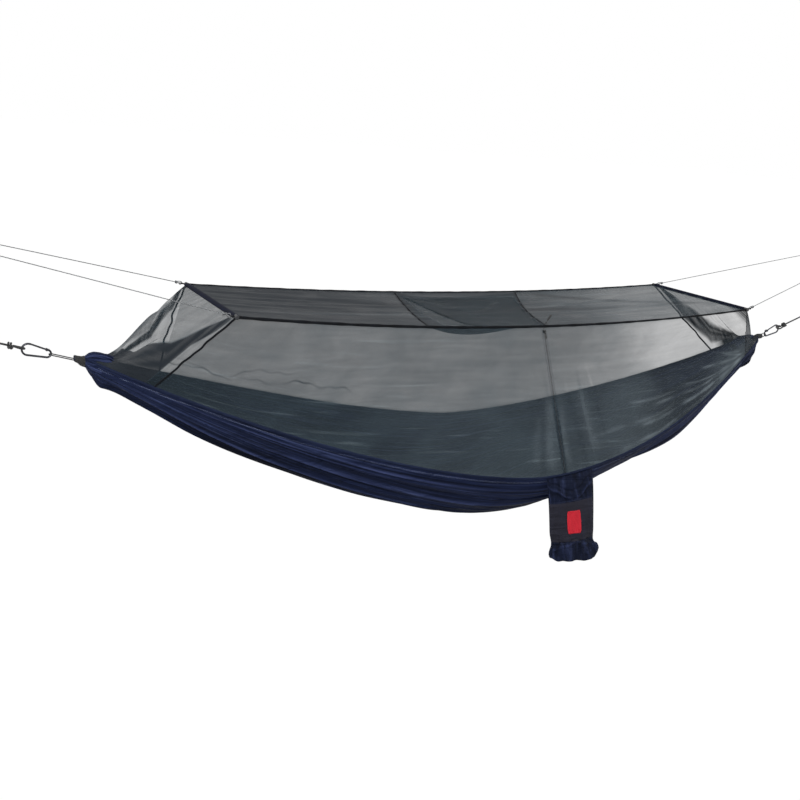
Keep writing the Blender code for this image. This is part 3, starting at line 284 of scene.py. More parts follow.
# A smooth line through given points: the cubic of each stretch has the slope of its neighbours.
def smoothLine(points, steps):
    p = np.asarray(points, dtype=float)
    p = np.concatenate((2 * p[:1] - p[1:2], p, 2 * p[-1:] - p[-2:-1]))
    t = (np.arange(steps) / steps)[None, :, None]
    a, b, c, d = (p[k:len(p) - 3 + k][:, None, :] for k in range(4))
    line = 0.5 * (2 * b + (c - a) * t + (2 * a - 5 * b + 4 * c - d) * t ** 2
                  + (3 * b - a - 3 * c + d) * t ** 3)
    return np.concatenate((line.reshape(-1, 3), p[-2:-1]))


# A tube: rings carried along a path without twisting. Radii may change along it.
def tubePiece(name, path, radii, sides, material, body, replaced=()):
    path = np.asarray(path, dtype=float)
    tangents = unit(np.gradient(path, axis=0))
    radii = np.broadcast_to(radii, (len(path),))
    helper = zAxis if abs(tangents[0][2]) < 0.9 else xAxis
    first = [unit(np.cross(helper, tangents[0]))]
    for axis in tangents[1:]:
        first.append(unit(first[-1] - axis * np.dot(first[-1], axis)))
    first = np.array(first)
    second = np.cross(tangents, first)
    angles = (np.arange(sides) * fullTurn / sides)[None, :, None]
    around = np.cos(angles) * first[:, None] + np.sin(angles) * second[:, None]
    points = path[:, None] + around * radii[:, None, None]
    uv = ringUv(travelled(path), sides)
    mesh = gridMesh(name, points[:, ::-1], uv[:, ::-1], closed=True, caps=True)
    return place(name, mesh, material, body, replaced)


# Ripstop nylon taffeta: calendered threads give a dull, slightly slippery cloth. Its threads
# are 0.15 mm and can't show, so the weave is drawn at 1.5 mm and the ripstop squares at 6 mm.
def ripstopNylon(name, colour, shade, folded=None, paintedHighlight=0.75, thread="#6E7791"):
    material, tree, shader, surface, split, metres = newMaterial(
        name, Roughness=0.66, Sheen_Weight=0.010, Sheen_Roughness=0.4,
        Sheen_Tint=srgb("#8C9BB8"), Specular_IOR_Level=0.06)
    ridges = []
    for spacing, depth, sharpness in ((0.0015, 0.35, 1.0), (0.006, 1.0, 12.0)):
        for axis in ("X", "Y"):
            ridge = addNode(tree, "Math", {"operation": "MULTIPLY_ADD", 1: 0.5 * depth,
                                           2: 0.5 * depth},
                            {0: threadWave(tree, split, axis, spacing)})
            ridges.append(addNode(tree, "Math", {"operation": "POWER", 1: sharpness}, {0: ridge}))
    weave = ridges[0]
    for ridge in ridges[1:]:
        weave = addNode(tree, "Math", {"operation": "ADD"}, {0: weave, 1: ridge})
    cloud = clouds(tree, metres, (3.0, 9.0, 9.0), Detail=5.0, Roughness=0.6)
    tone = addNode(tree, "ValToRGB", {"stops": ((0.3, shade), (0.7, colour))}, {"Fac": cloud})
    if folded:
        tone = foldedTone(tree, split, tone, folded, paintedHighlight, thread)
    varyRoughness(tree, shader, cloud, 0.3, 0.7, 0.60, 0.76)
    crumple = clouds(tree, metres, (4.0, 30.0, 30.0), Detail=4.0, Distortion=0.6)
    low = addNode(tree, "Bump", {"Strength": 0.9, "Distance": 0.018}, {"Height": crumple})
    colourAndRelief(tree, shader, tone, weave, 0.25, 0.0004, Normal=low)
    return material


# Cloth that lies in folds: the valleys get a painted shade and the ridges a painted highlight.
# Finer wrinkles, painted as thin lines of shade and of highlight, take so many turns to a metre and
# across the piece, and two rows of stitches hold the hem. The piece carries the height of its
# folds, the share across it and metres from its hem.
def foldedTone(tree, split, tone, turns, paintedHighlight, thread):
    fold, across, fromRim = ((addNode(tree, "Attribute", {"attribute_name": name}), "Fac")
                             for name in ("fold", "across", "fromRim"))
    # painted shade in the valleys, and a painted highlight on the ridges
    for start, end, most, colour in ((0.0, -1.0, 0.85, "#080B16"), (0.05, 1.0, paintedHighlight, "#454F78")):
        share = addNode(tree, "MapRange", {"From Min": start, "From Max": end, "To Min": 0.0,
                                           "To Max": most}, {"Value": fold})
        tone = tint(tree, tone, colour, share)
    fan = addNode(tree, "CombineXYZ", {}, {"X": (split, "X"), "Y": across})
    drawn = clouds(tree, fan, (*turns, 1.0), Detail=3.0, Roughness=0.6, Distortion=0.35)
    # fine wrinkles painted as thin dark lines of shade and pale lines of highlight
    tone = tint(tree, tone, "#070A14", drawn, ((0.36, 0.75), (0.48, 0.0)))
    tone = tint(tree, tone, "#485278", drawn, ((0.54, 0.0), (0.70, 0.9 * paintedHighlight)))
    rows = [addNode(tree, "Math", {"operation": "COMPARE", 1: inset, 2: 0.0004}, {0: fromRim})
            for inset in (0.0125, 0.0155)]
    both = addNode(tree, "Math", {"operation": "ADD"}, {0: rows[0], 1: rows[1]})
    dashes = addNode(tree, "Math", {"operation": "GREATER_THAN", 1: -0.4},
                     {0: threadWave(tree, split, "X", 0.005)})
    stitches = addNode(tree, "Math", {"operation": "MULTIPLY"}, {0: both, 1: dashes})
    return tint(tree, tone, thread, stitches)


# Polyester insect net: a knitted mesh of 1.2 mm holes, drawn three times coarser, which the eye
# sees as a grey veil. Each sheet carries its veil, the share of the view that thread covers and
# which is greater where the net lies folded, and its glint, where a fold catches the light.
# Clouds and streaks stand for the thread drawn together by slack, and thin pale lines are a painted
# highlight where folds catch the light.
def insectNet():
    material, tree, shader, surface, split, _ = newMaterial(
        "polyesterInsectNet", Roughness=0.75, Specular_IOR_Level=0.2)
    veil, glint = ((addNode(tree, "Attribute", {"attribute_name": name}), "Fac")
                   for name in ("veil", "glint"))
    cloud = clouds(tree, surface, (6.0, 6.0, 6.0), Detail=5.0, Roughness=0.6, Distortion=0.7)
    streak = clouds(tree, surface, (3.0, 38.0, 1.0), 0.06, Detail=4.0, Distortion=0.5)
    alpha = addNode(tree, "Math", {"operation": "SUBTRACT", 1: 0.22}, {0: veil})
    threads = [(threadWave(tree, split, axis, 0.0036), 0.015) for axis in ("X", "Y")]
    for source, share in ((cloud, 0.26), (streak, 0.18), *threads, (glint, 0.5)):
        alpha = addNode(tree, "Math", {"operation": "MULTIPLY_ADD", 1: share},
                        {0: source, 2: alpha})
    alpha.use_clamp = True
    tree.links.new(alpha.outputs[0], shader.inputs["Alpha"])
    tone = addNode(tree, "ValToRGB", {"stops": ((0.3, "#263037"), (0.7, "#303C43"))},
                   {"Fac": cloud})
    # thin pale lines: a painted highlight where folds catch the light
    paintedGlintLines = clouds(tree, surface, (3.2, 62.0, 1.0), 0.10, Detail=3.0, Distortion=0.9)
    tone = tint(tree, tone, "#667379", paintedGlintLines, ((0.60, 0.0), (0.74, 0.55)))
    # painted shade of folded layers: the net darkens where its veil is densest
    tone = tint(tree, tone, "#171C22", veil, ((0.80, 0.0), (0.93, 0.92)))
    tone = tint(tree, tone, "#9EAAB1", glint)
    tree.links.new(tone.outputs[0], shader.inputs["Base Color"])
    return material


# Woven cloth whose ribs catch a thin light: a tape, or an embroidered patch. Real ribs are
# 1.2 mm and are drawn a little coarser.
def ribbedCloth(name, stops, rib=0.0016, lean=0.0, **settings):
    material, tree, shader, surface, split, metres = newMaterial(name, **settings)
    if lean:
        leaning = addNode(tree, "Mapping", {"Rotation": (0.0, 0.0, lean)}, {"Vector": surface})
        split = addNode(tree, "SeparateXYZ", {}, {0: leaning})
    ribs = threadWave(tree, split, "X", rib, "SINE")
    pattern = ribs if lean else clouds(tree, metres, (60.0, 60.0, 60.0), Detail=3.0)
    tone = addNode(tree, "ValToRGB", {"stops": stops}, {"Fac": pattern})
    colourAndRelief(tree, shader, tone, ribs, 0.5, 0.0004)
    return material


# Braided polyester cord: strands wound against each other, each once round the cord in a turn.
def braidedCord(name, colour, shade, turn=0.006, strands=6):
    material, tree, shader, surface, split, _ = newMaterial(name, Roughness=0.68, Sheen_Weight=0.1)
    along, around = (addNode(tree, "Math", {"operation": "MULTIPLY", 1: turns}, {0: (split, axis)})
                     for axis, turns in (("X", fullTurn / turn), ("Y", fullTurn * strands)))
    wound = []
    for operation in ("ADD", "SUBTRACT"):
        angle = addNode(tree, "Math", {"operation": operation}, {0: along, 1: around})
        wound.append(addNode(tree, "Math", {"operation": "SINE"}, {0: angle}))
    braid = addNode(tree, "Math", {"operation": "MAXIMUM"}, {0: wound[0], 1: wound[1]})
    tone = addNode(tree, "ValToRGB", {"stops": ((0.2, shade), (0.9, colour))}, {"Fac": braid})
    colourAndRelief(tree, shader, tone, braid, 0.6, 0.0004)
    return material


# A hard finish: a fine grain in two shades, which is also its relief, and may vary the polish.
def grainedFinish(name, turns, detail, stops, relief, polish=None, **settings):
    material, tree, shader, surface, split, metres = newMaterial(name, **settings)
    grain = clouds(tree, metres, turns, Detail=detail)
    tone = addNode(tree, "ValToRGB", {"stops": stops}, {"Fac": grain})
    colourAndRelief(tree, shader, tone, grain, *relief)
    if polish:
        varyRoughness(tree, shader, grain, *polish)
    return material


navyNylon = ripstopNylon("navyRipstopNylon", "#222A42", "#141A2C")
bedNylon = ripstopNylon("foldedRipstopNylon", "#1F2742", "#121930", folded=(2.2, 75.0),
                        paintedHighlight=0.62)
netMesh = insectNet()
bindingTape = ribbedCloth("seamTape", ((0.35, "#08090C"), (0.65, "#101217")), Roughness=0.85,
                          Specular_IOR_Level=0.12)  # polyester twill, black and dull
sleeveTape = ribbedCloth("barSleeveCloth", ((0.35, "#090C18"), (0.65, "#0F1426")), 0.0022,
                         Roughness=0.85, Specular_IOR_Level=0.12)  # navy, with heavier ribs
blackBraid = braidedCord("blackBraid", "#17181A", "#090A0B")
guyBraid = braidedCord("greyGuyBraid", "#8E9092", "#2A2B2D", turn=0.012, strands=2)
steel = grainedFinish(  # dark and satin, with its coating rubbed thin in small clouds
    "darkCoatedSteel", (220.0, 220.0, 220.0), 5.0, ((0.4, "#2E2F33"), (0.72, "#4A4B50")),
    (0.1, 0.0002), (0.35, 0.7, 0.28, 0.45), Metallic=1.0, Roughness=0.34)
aluminium = grainedFinish(  # drawn tube: bright, with fine lines along it
    "drawnAluminium", (900.0, 6.0, 900.0), 3.0, ((0.3, "#A4A7AB"), (0.7, "#C3C6CA")),
    (0.15, 0.0001), Metallic=1.0, Roughness=0.38)
nylon = grainedFinish(  # moulded: black, with the spark-eroded grain of its mould
    "mouldedNylon", (900.0, 900.0, 900.0), 2.0, ((0.3, "#141517"), (0.7, "#202226")),
    (0.2, 0.0001), Roughness=0.48)
print("materials made")

bed = {
    "span": 2.70, "halfWidths": (0.519, 0.467), "drops": (0.304, 0.402),
    "lowPoints": (-0.058, 0.114), "widthPower": 1.7, "dropPower": 1.6, "rimRadius": 0.0035,
    "depth": 0.204, "depthPower": 3.66, "bunchHalfWidth": 0.030, "bunchDepth": 0.095,
    "bunchPower": 8, "neckWidth": 0.4, "neckDepth": 0.3, "neckFrom": 0.97, "neckTo": 0.998,
    "foldHeight": 0.017, "folds": 5, "rows": 300, "columns": 320, "thickness": 0.0008,
    "fullFold": 0.0075,  # the height at which a fold gets the full painted shade or painted highlight
    "rimRings": 420, "rimSides": 14, "rimWander": (0.12, 90, 37),  # share, turns to a metre
    # how much closer together rows lie by the gathers and columns by the rims, and the steps
    # of the finer curve that the columns are taken from
    "rowsToGathers": 0.55, "columnsToRims": 0.35, "fine": 601,
    # how far the bottom is drawn up at a share of the half span
    "lift": ((-1.0, 0.0), (-0.975, 0.026), (-0.955, 0.034), (-0.92, 0.024), (-0.865, 0.023),
             (-0.776, 0.011), (-0.686, 0.011), (-0.56, 0.013), (-0.435, 0.002), (-0.38, -0.006),
             (-0.29, -0.014), (-0.18, -0.028), (-0.108, -0.020), (-0.035, -0.004), (0.04, 0.008),
             (0.117, 0.033), (0.197, 0.060), (0.283, 0.070), (0.355, 0.058), (0.45, 0.034),
             (0.54, 0.015), (0.63, 0.027), (0.72, 0.046), (0.815, 0.044), (0.92, 0.024),
             (0.963, -0.018), (0.98, -0.024), (1.0, 0.0)),
    "creaseHeight": 1.2, "creaseSink": 0.011, "creaseRoom": 0.35, "seed": 11, "minor": 150,
    # creases: share across from the near rim, height, half width as a share, and how strongly
    # each runs at the left gather, the middle and the right gather
    "creases": ((0.045, 0.006, 0.010, 1.0, 0.3, 0.7), (0.075, -0.007, 0.012, 1.0, 0.5, 0.6),
                (0.115, 0.008, 0.014, 1.0, 0.45, 0.6), (0.150, -0.006, 0.012, 1.0, 0.2, 0.8),
                (0.195, 0.009, 0.016, 1.0, 0.3, 0.5), (0.235, -0.006, 0.012, 0.9, 0.2, 0.9),
                (0.290, 0.008, 0.018, 1.0, 0.2, 0.6), (0.360, -0.007, 0.015, 0.8, 0.1, 0.8),
                (0.430, 0.009, 0.020, 0.9, 0.1, 0.6), (0.520, -0.007, 0.018, 0.8, 0.1, 0.8),
                (0.610, 0.008, 0.018, 0.8, 0.2, 0.8), (0.700, -0.007, 0.015, 0.9, 0.2, 0.8),
                (0.780, 0.008, 0.016, 0.9, 0.2, 0.8), (0.860, -0.006, 0.012, 1.0, 0.3, 1.0),
                (0.930, 0.006, 0.012, 1.0, 0.3, 1.0)),
    # the belly lies in its own shade: depth, share across, half width, and how far it fades
    # over a share of the half span to the left
    "belly": (0.0080, 0.42, 0.26, 0.7, 0.6, 0.9),
}
net = {
    "barFromMiddle": 0.989, "barHalf": 0.257, "barRise": 0.169, "sags": (0.046, 0.029),
    "middleSag": 0.010, "zipHead": 0.067, "zipFoot": 0.022, "zipGap": 0.009,
    "corners": {"left": (0.875, 0.815), "right": (0.875, 0.896)},
    "neckRise": 0.003, "neckHalf": 0.025, "ridgeSag": 0.035, "sagPower": 3,
    # points along and across each sheet
    "topPoints": (420, 60), "wallPoints": (260, 220), "farPoints": (420, 110),
    "endPoints": (200, 220),
    "wallFold": 0.010, "endFold": 0.008, "endLast": 0.985, "tapeRows": 0.45, "ridgeSoft": 0.05,
    # slack folds of a wall: turns along X and down, shift, height
    "slack": ((7.5, 3.2, 0, 0.5), (17, -9, 1.3, 0.28), (31, 14, 0, 0.13), (53, -21, 2, 0.06)),
}
loft = {
    "farX": (-0.233, 0.287), "nearX": (-0.365, 0.085), "inset": 0.014, "sag": 0.045,
    "mouth": 0.30, "mouthFrom": 0.5, "steep": 4.5, "drop": 0.0018, "draw": 0.012,
    "single": 0.79, "double": 0.92, "hem": 1.0, "pocket": 0.95, "columns": 140, "rows": 120,
    "above": 0.0012, "hemRadii": (0.0024, 0.0020, 0.0030), "hemSides": 10,
}


# At the gathers the bed narrows to a least share of its width or depth.
def necked(share, least):
    closing = (np.abs(share) - bed["neckFrom"]) / (bed["neckTo"] - bed["neckFrom"])
    return 1 - (1 - least) * np.clip(closing, 0, 1) ** 2


# A rim: its half width and its drop are powers of the share of the half span.
def rimPoint(side, share):
    share = np.asarray(share, dtype=float)
    reach = np.abs(share)
    width = bed["halfWidths"][side] * (1 - reach ** bed["widthPower"])
    width = width + bed["bunchHalfWidth"] * reach ** bed["bunchPower"]
    y = sideSigns[side] * width * necked(share, bed["neckWidth"])
    low = share - bed["lowPoints"][side] * (1 - share ** 2)
    drop = bed["drops"][side] * (1 - np.abs(low) ** bed["dropPower"])
    return np.stack((share * bed["span"] / 2, y, -drop), axis=-1) + middle


# The bed's depth under its rims: it falls as a power from the middle, and a bunch of cloth adds to
# it at the gathers.
def bedDepth(share):
    reach = np.abs(share)
    depth = bed["depth"] * (1 - reach ** bed["depthPower"])
    bunch = bed["bunchDepth"] * reach ** bed["bunchPower"]
    return (depth + bunch) * necked(share, bed["neckDepth"])


# A top edge: between its two bar ends it sags as a parabola.
def topPoint(side, share):
    share = np.asarray(share, dtype=float)
    sag = net["sags"][side] * (1 - share ** 2)
    y = np.full_like(share, sideSigns[side] * net["barHalf"])
    return np.stack((share * net["barFromMiddle"], y, net["barRise"] - sag), axis=-1) + middle


# Where a spreader bar ends.
def barEnd(end, side):
    return topPoint(side, float(end))


# Where a wall's corner meets the rim, as a share of the half span.
def cornerShare(end, side):
    return end * net["corners"][endNames[end]][side]


# Ropes and guy lines take the same routes as the solids.
rope = {
    "slopes": {left: math.radians(14.9), right: math.radians(20.1)},
    "anchorReach": {left: 0.335, right: 0.400}, "clipReach": 0.180, "radius": 0.0030,
    "eyeRadius": 0.010, "eyeTwist": math.radians(20), "hookRod": 0.0030, "contact": 0.0008,
    "eyeLength": 3.2, "lead": 0.5, "closing": 0.45, "turns": 2, "turnPoints": 8,
    "eyePoints": 7, "gap": 0.0008, "sides": 16, "pullDrop": 0.012,
}
guy = {
    "shares": {"left_far": 0.575, "left_near": 0.595, "right_far": 0.675, "right_near": 0.430},
    "anchor": (2.094, 0.430), "radius": 0.00125, "eyeRadius": 0.0050, "ringRadius": 0.0062,
    "capRadius": 0.0065, "sides": 10,
}


# Where a rope's line starts in its gather.
def gatherPoint(end):
    return middle + np.array([end * bed["span"] / 2, 0.0, -rope["pullDrop"]])


# An eye tied in a line, from its tail: turns round the line, then the loop, then the line.
def tiedEye(bearing, axis, side, radius, eyeRadius):
    pitch = 2 * radius + rope["gap"]
    wrap = pitch / math.cos(math.pi / rope["turnPoints"])
    length = rope["eyeLength"] * eyeRadius
    across = np.cross(axis, side)
    k = np.arange(rope["turns"] * rope["turnPoints"], -1, -1)[:, None] / rope["turnPoints"]
    turns = (bearing + axis * (length + pitch * k)
             + (np.sin(fullTurn * k) * across - np.cos(fullTurn * k) * side) * wrap)
    lead = bearing + axis * rope["lead"] * (length + eyeRadius)
    angle = np.linspace(0, math.pi, rope["eyePoints"])[:, None]
    loop = (bearing + axis * eyeRadius
            - (np.cos(angle) * side + np.sin(angle) * axis) * eyeRadius)
    return np.concatenate((turns, [lead - side * (wrap + eyeRadius) / 2], loop,
                           [lead + side * rope["closing"] * eyeRadius, bearing + axis * length]))


# A cord with an eye at its clip and one at its anchor, on bearings that face each other.
def cordPiece(name, clip, anchor, axis, side, sizes, material, body):
    radius, eye = sizes["radius"], sizes["eyeRadius"]
    path = smoothLine(np.concatenate((tiedEye(clip, axis, side, radius, eye),
                                      tiedEye(anchor, -axis, side, radius, eye)[::-1])), 4)
    piece = tubePiece(name + "Cord", path, radius, sizes["sides"], material, body, [name])


# Each rope leaves its gather at its own slope, from the eye in its hook to that at its anchor.
def makeRopes():
    for end in (left, right):
        slope, slopes = rope["slopes"][end], rope["slopes"]
        axis = np.array([end * math.cos(slope), 0.0, math.sin(slope)])
        side = (math.cos(rope["eyeTwist"]) * yAxis
                + math.sin(rope["eyeTwist"]) * np.cross(axis, yAxis))
        reach = rope["clipReach"] * math.sin(slopes[left]) / math.sin(slope)
        clip = gatherPoint(end) + axis * (
            reach - rope["hookRod"] - rope["contact"] - rope["radius"])
        anchor = gatherPoint(end) + axis * (rope["anchorReach"][end] + rope["radius"])
        cordPiece(f"{endNames[end]}_rope", clip, anchor, axis, side, rope, blackBraid,
                  "ropes")


# Each guy line leaves the ring on its bar end for an anchor, and ends a share of the way there.
def makeGuys():
    for end in (left, right):
        for side in (near, far):
            name = f"{endNames[end]}_{sideNames[side]}"
            hub = barEnd(end, side)
            anchor = middle + np.array([end * guy["anchor"][0], 0.0, guy["anchor"][1]])
            pull = unit(anchor - hub)
            clip = hub + pull * (guy["capRadius"] + 2 * guy["ringRadius"] - guy["radius"])
            tip = hub + (anchor - hub) * guy["shares"][name]
            cordPiece(f"{name}_guy", clip, tip, pull, unit(np.cross(pull, yAxis)) * -end, guy,
                      guyBraid, "hammock")


makeCamera()
makeRopes()
makeGuys()
print("camera and cords made")


# How far the bed's bottom is drawn up at a share of its length, softened over 30 mm.
def bedLift(share):
    table = np.array(bed["lift"])
    even = np.linspace(-1, 1, 401)
    window = np.hanning(27)[1:-1]
    lift = np.pad(np.interp(even, table[:, 0], table[:, 1]), 12, mode="edge")
    return np.interp(share, even, np.convolve(lift, window / window.sum(), "valid"))


# Height of the sharper creases over shares of the half span and shares across: long ones from
# the table, and short wrinkles between them.
def bedCreases(share, part):
    toLeft, toRight = np.clip(-share, 0, 1), np.clip(share, 0, 1)
    lines = np.zeros_like(part)
    for centre, high, wide, atLeft, atMiddle, atRight in bed["creases"]:
        strength = (atMiddle + (atLeft - atMiddle) * toLeft ** 0.7
                    + (atRight - atMiddle) * toRight ** 0.7)
        drift = 0.012 * np.sin(5 * share + 40 * centre) * (1 - np.abs(share))
        lines = lines + 0.75 * high * strength * bell(part - centre - drift, 0.55 * wide, 1.3)
    rng = np.random.default_rng(bed["seed"])
    for _ in range(bed["minor"]):
        centre, lean = rng.uniform(0.02, 0.98), rng.uniform(-0.03, 0.03)
        start = rng.choice((-1.0, 1.0)) * rng.uniform(0.35, 1.0)
        long, wide = rng.uniform(0.15, 0.85), rng.uniform(0.0026, 0.0055)
        high = rng.choice((-1.0, 1.0)) * rng.uniform(0.0025, 0.0070)
        lines = lines + high * bell(share - start, long, 3) * bell(
            part - centre - lean * (share - start), wide, 1.5)
    return lines


# The bed: each section is half a sine from rim to rim, hung between them, with soft folds and
# sharper creases that run from gather to gather at one share of the section's length.
def bedGrid(rows, columns):
    even = np.linspace(-1, 1, rows)[:, None]
    spread = math.pi / 2 * 0.999
    share = blend(even, np.sin(spread * even) / math.sin(spread), bed["rowsToGathers"])
    fine = bed["fine"]
    t = np.linspace(0, math.pi, fine)[None, :, None]
    over = (1 - np.cos(t)) / 2
    base = (rimPoint(near, share) * (1 - over) + rimPoint(far, share) * over
            - zAxis * (bedDepth(share) - bedLift(share))[..., None] * np.sin(t))
    tangent = np.gradient(base[..., 1:], axis=1)
    outward = unit(np.stack((tangent[..., 1] * 0, tangent[..., 1], -tangent[..., 0]), axis=-1))
    length = travelled(base, 1)
    part = length / length[:, -1:]
    arch = np.sin(math.pi * part)
    reach = np.abs(share)
    swell = 27 / 4 * reach ** 2 * (1 - reach)  # one where the folds are highest
    room = np.clip((1 - reach) / bed["creaseRoom"], 0, 1) ** 0.7
    lines = bedCreases(share, part)
    height = (np.cos(fullTurn * bed["folds"] * part) * arch * swell * bed["foldHeight"]
              + room * (bed["creaseHeight"] * lines
                        - bed["creaseSink"] * reach ** 0.5 * arch ** 0.5))
    surface = base + outward * height[..., None]
    # the fold values, not the shape, also take a painted shade over the belly that fades to the
    # left
    depth, centre, half, fade, fadeFrom, fadeTo = bed["belly"]
    lines = lines * room - depth * bell(part - centre, half, 4) * (
        1 - fade * smooth(-share, fadeFrom, fadeTo))
    even = np.linspace(0, 1, columns)
    even = even - bed["columnsToRims"] / fullTurn * np.sin(fullTurn * even)
    points, fold = np.empty((rows, columns, 3)), np.empty((rows, columns))
    for i in range(rows):
        where = np.interp(even, part[i], np.arange(fine))
        floor = np.clip(where.astype(int), 0, fine - 2)
        points[i] = blend(surface[i, floor], surface[i, floor + 1], (where - floor)[:, None])
        fold[i] = np.interp(even, part[i], lines[i])
    return points, fold, np.minimum(even, 1 - even) * length[:, -1:]


# The cloth, and a rolled hem of wandering thickness along each rim.
def makeBed():
    points, fold, fromRim = bedGrid(bed["rows"], bed["columns"])
    # the fold heights set the cloth's painted shade and painted highlight
    sheetPiece("bedCloth", points, bedNylon, "hung", ["left_knot", "right_knot"],
               ["hammock_bed"], "navy_nylon", bed["thickness"], fold=fold / bed["fullFold"],
               across=np.linspace(0, 1, bed["columns"])[None], fromRim=fromRim)
    share = np.linspace(-1, 1, bed["rimRings"])
    along = share * bed["span"] / 2
    uneven, turns, otherTurns = bed["rimWander"]
    radii = bed["rimRadius"] * (1 + uneven * np.sin(along * turns) * np.sin(along * otherTurns))
    for side in (near, far):
        tubePiece(f"{sideNames[side]}RimHem", rimPoint(side, share), radii, bed["rimSides"],
                  navyNylon, "hammock", [f"{sideNames[side]}_rim_binding"])


makeBed()
print("bed made")


# Shares of the half span along the top and along the rim, for places from -1 at the left corner
# over 0 at the zip to 1 at the right corner.
def columnShares(side, q):
    head, foot, corners = net["zipHead"], net["zipFoot"], net["corners"]
    top = head + np.where(q < 0, 1 + head, 1 - head) * q
    return top, foot + np.where(q < 0, foot + corners["left"][side],
                                corners["right"][side] - foot) * q


# A wall: straight lines from the top edge down to the rim, swelled by slack folds. The folds
# fan out from the corners and die away at the seams.
def wallGrid(side, first, last, rows, columns, zipGap=0.0):
    q = np.linspace(first, last, rows)[:, None]
    top, foot = columnShares(side, q)
    a, b = topPoint(side, top), rimPoint(side, foot)
    down = np.linspace(0, 1, columns)[None]
    points = blend(a, b, down[..., None])
    out = unit(np.cross(b - a, xAxis)) * -sideSigns[side]
    fade = (np.sin(math.pi * down) * np.clip((1 - np.abs(q)) * 6, 0, 1)
            * np.clip(np.abs(q) * 8, 0, 1))
    slack = waves(net["slack"], points[..., 0] - middle[0], down)
    points = points + out * (slack * fade * net["wallFold"])[..., None]
    points[..., 0] += zipGap * np.clip(1 - np.abs(q) * 12, 0, 1) * np.sign(first + last)
    return points


# The top: straight lines from the near edge to the far one. They sag in an arch, and two slanting
# waves ripple them.
def topGrid(rows, columns):
    share = columnShares(near, np.linspace(-1, 1, rows)[:, None])[0]
    v = np.linspace(0, 1, columns)[None]
    arch = np.sin(math.pi * v)
    x = share * net["barFromMiddle"]
    lines = np.sin(5 * x + 40 * v ** 1.2) * 0.0012 + np.sin(9 * x - 73 * v) * 0.0008
    sag = (net["middleSag"] * (1 - share ** 2) - lines) * arch
    return blend(topPoint(near, share), topPoint(far, share), v[..., None]) - zAxis * sag[..., None]


# The ridge that the cloth pulls straight from a bar end to the neck.
def ridgePoint(end, side, x, reach):
    bar = barEnd(end, side)
    neck = middle + np.array([end * reach, sideSigns[side] * net["neckHalf"], net["neckRise"]])
    down = (np.abs(x) - net["barFromMiddle"]) / (reach - net["barFromMiddle"])
    down = np.clip(down, 0, 1)[:, None]
    sag = net["ridgeSag"] * np.sin(math.pi * down ** net["sagPower"])
    return blend(bar, neck, down) - zAxis * sag


# A side of a net end: down the corner tape, then along the rim to the gather.
def endSide(end, side, rows):
    corner = cornerShare(end, side)
    t = np.linspace(0, 1, rows)
    split = net["tapeRows"]
    tape = blend(barEnd(end, side), rimPoint(side, corner), np.clip(t / split, 0, 1)[:, None])
    share = blend(corner, end * net["endLast"], np.clip((t - split) / (1 - split), 0, 1))
    return np.where((t <= split)[:, None], tape, rimPoint(side, share))


# A net end: from the near seam up to one ridge, over to the other and down to the far seam.
def endGrid(end, rows, columns):
    a, d = endSide(end, near, rows), endSide(end, far, rows)
    x = (a + d)[:, 0] / 2 - middle[0]
    reach = float(abs(x[-1]))
    b, c = ridgePoint(end, near, x, reach), ridgePoint(end, far, x, reach)
    legs = [np.linalg.norm(q - p, axis=1)[:, None, None] + 1e-6
            for p, q in ((a, b), (b, c), (c, d))]
    total = sum(legs)
    v = np.linspace(0, 1, columns)[None, :, None]
    points, shifts = 0, np.linspace(-1, 1, 7) * net["ridgeSoft"]
    for shift in shifts:  # a moving mean rounds the ridges
        gone = np.clip(v + shift * np.sin(math.pi * v), 0, 1) * total
        row = a[:, None]
        for leg, step in zip(legs, (b - a, c - b, d - c)):
            row = row + step[:, None] * np.clip(gone / leg, 0, 1)
            gone = gone - leg
        points = points + row / len(shifts)
    out = unit(np.array([end * net["barRise"], 0.0, bed["span"] / 2 - net["barFromMiddle"]]))
    down, across = np.linspace(0, 1, rows)[:, None], v[..., 0]
    fold = np.cos(6 * math.pi * across + 2 * down) + 0.5 * np.cos(15 * math.pi * across - 3 * down)
    fold = fold * np.sin(math.pi * across) ** 2 * np.sin(math.pi * down) * net["endFold"]
    room = np.minimum(1.0, total[..., 0] / (2 * net["barHalf"]))
    return points + out * (fold * room)[..., None]


# X of the loft from the middle, at a share along it and a share across from the near side.
def loftX(u, v):
    nearX, farX = (blend(*loft[key], u) for key in ("nearX", "farX"))
    return blend(nearX, farX, v) - loft["draw"] * np.sin(math.pi * v) * u ** 4


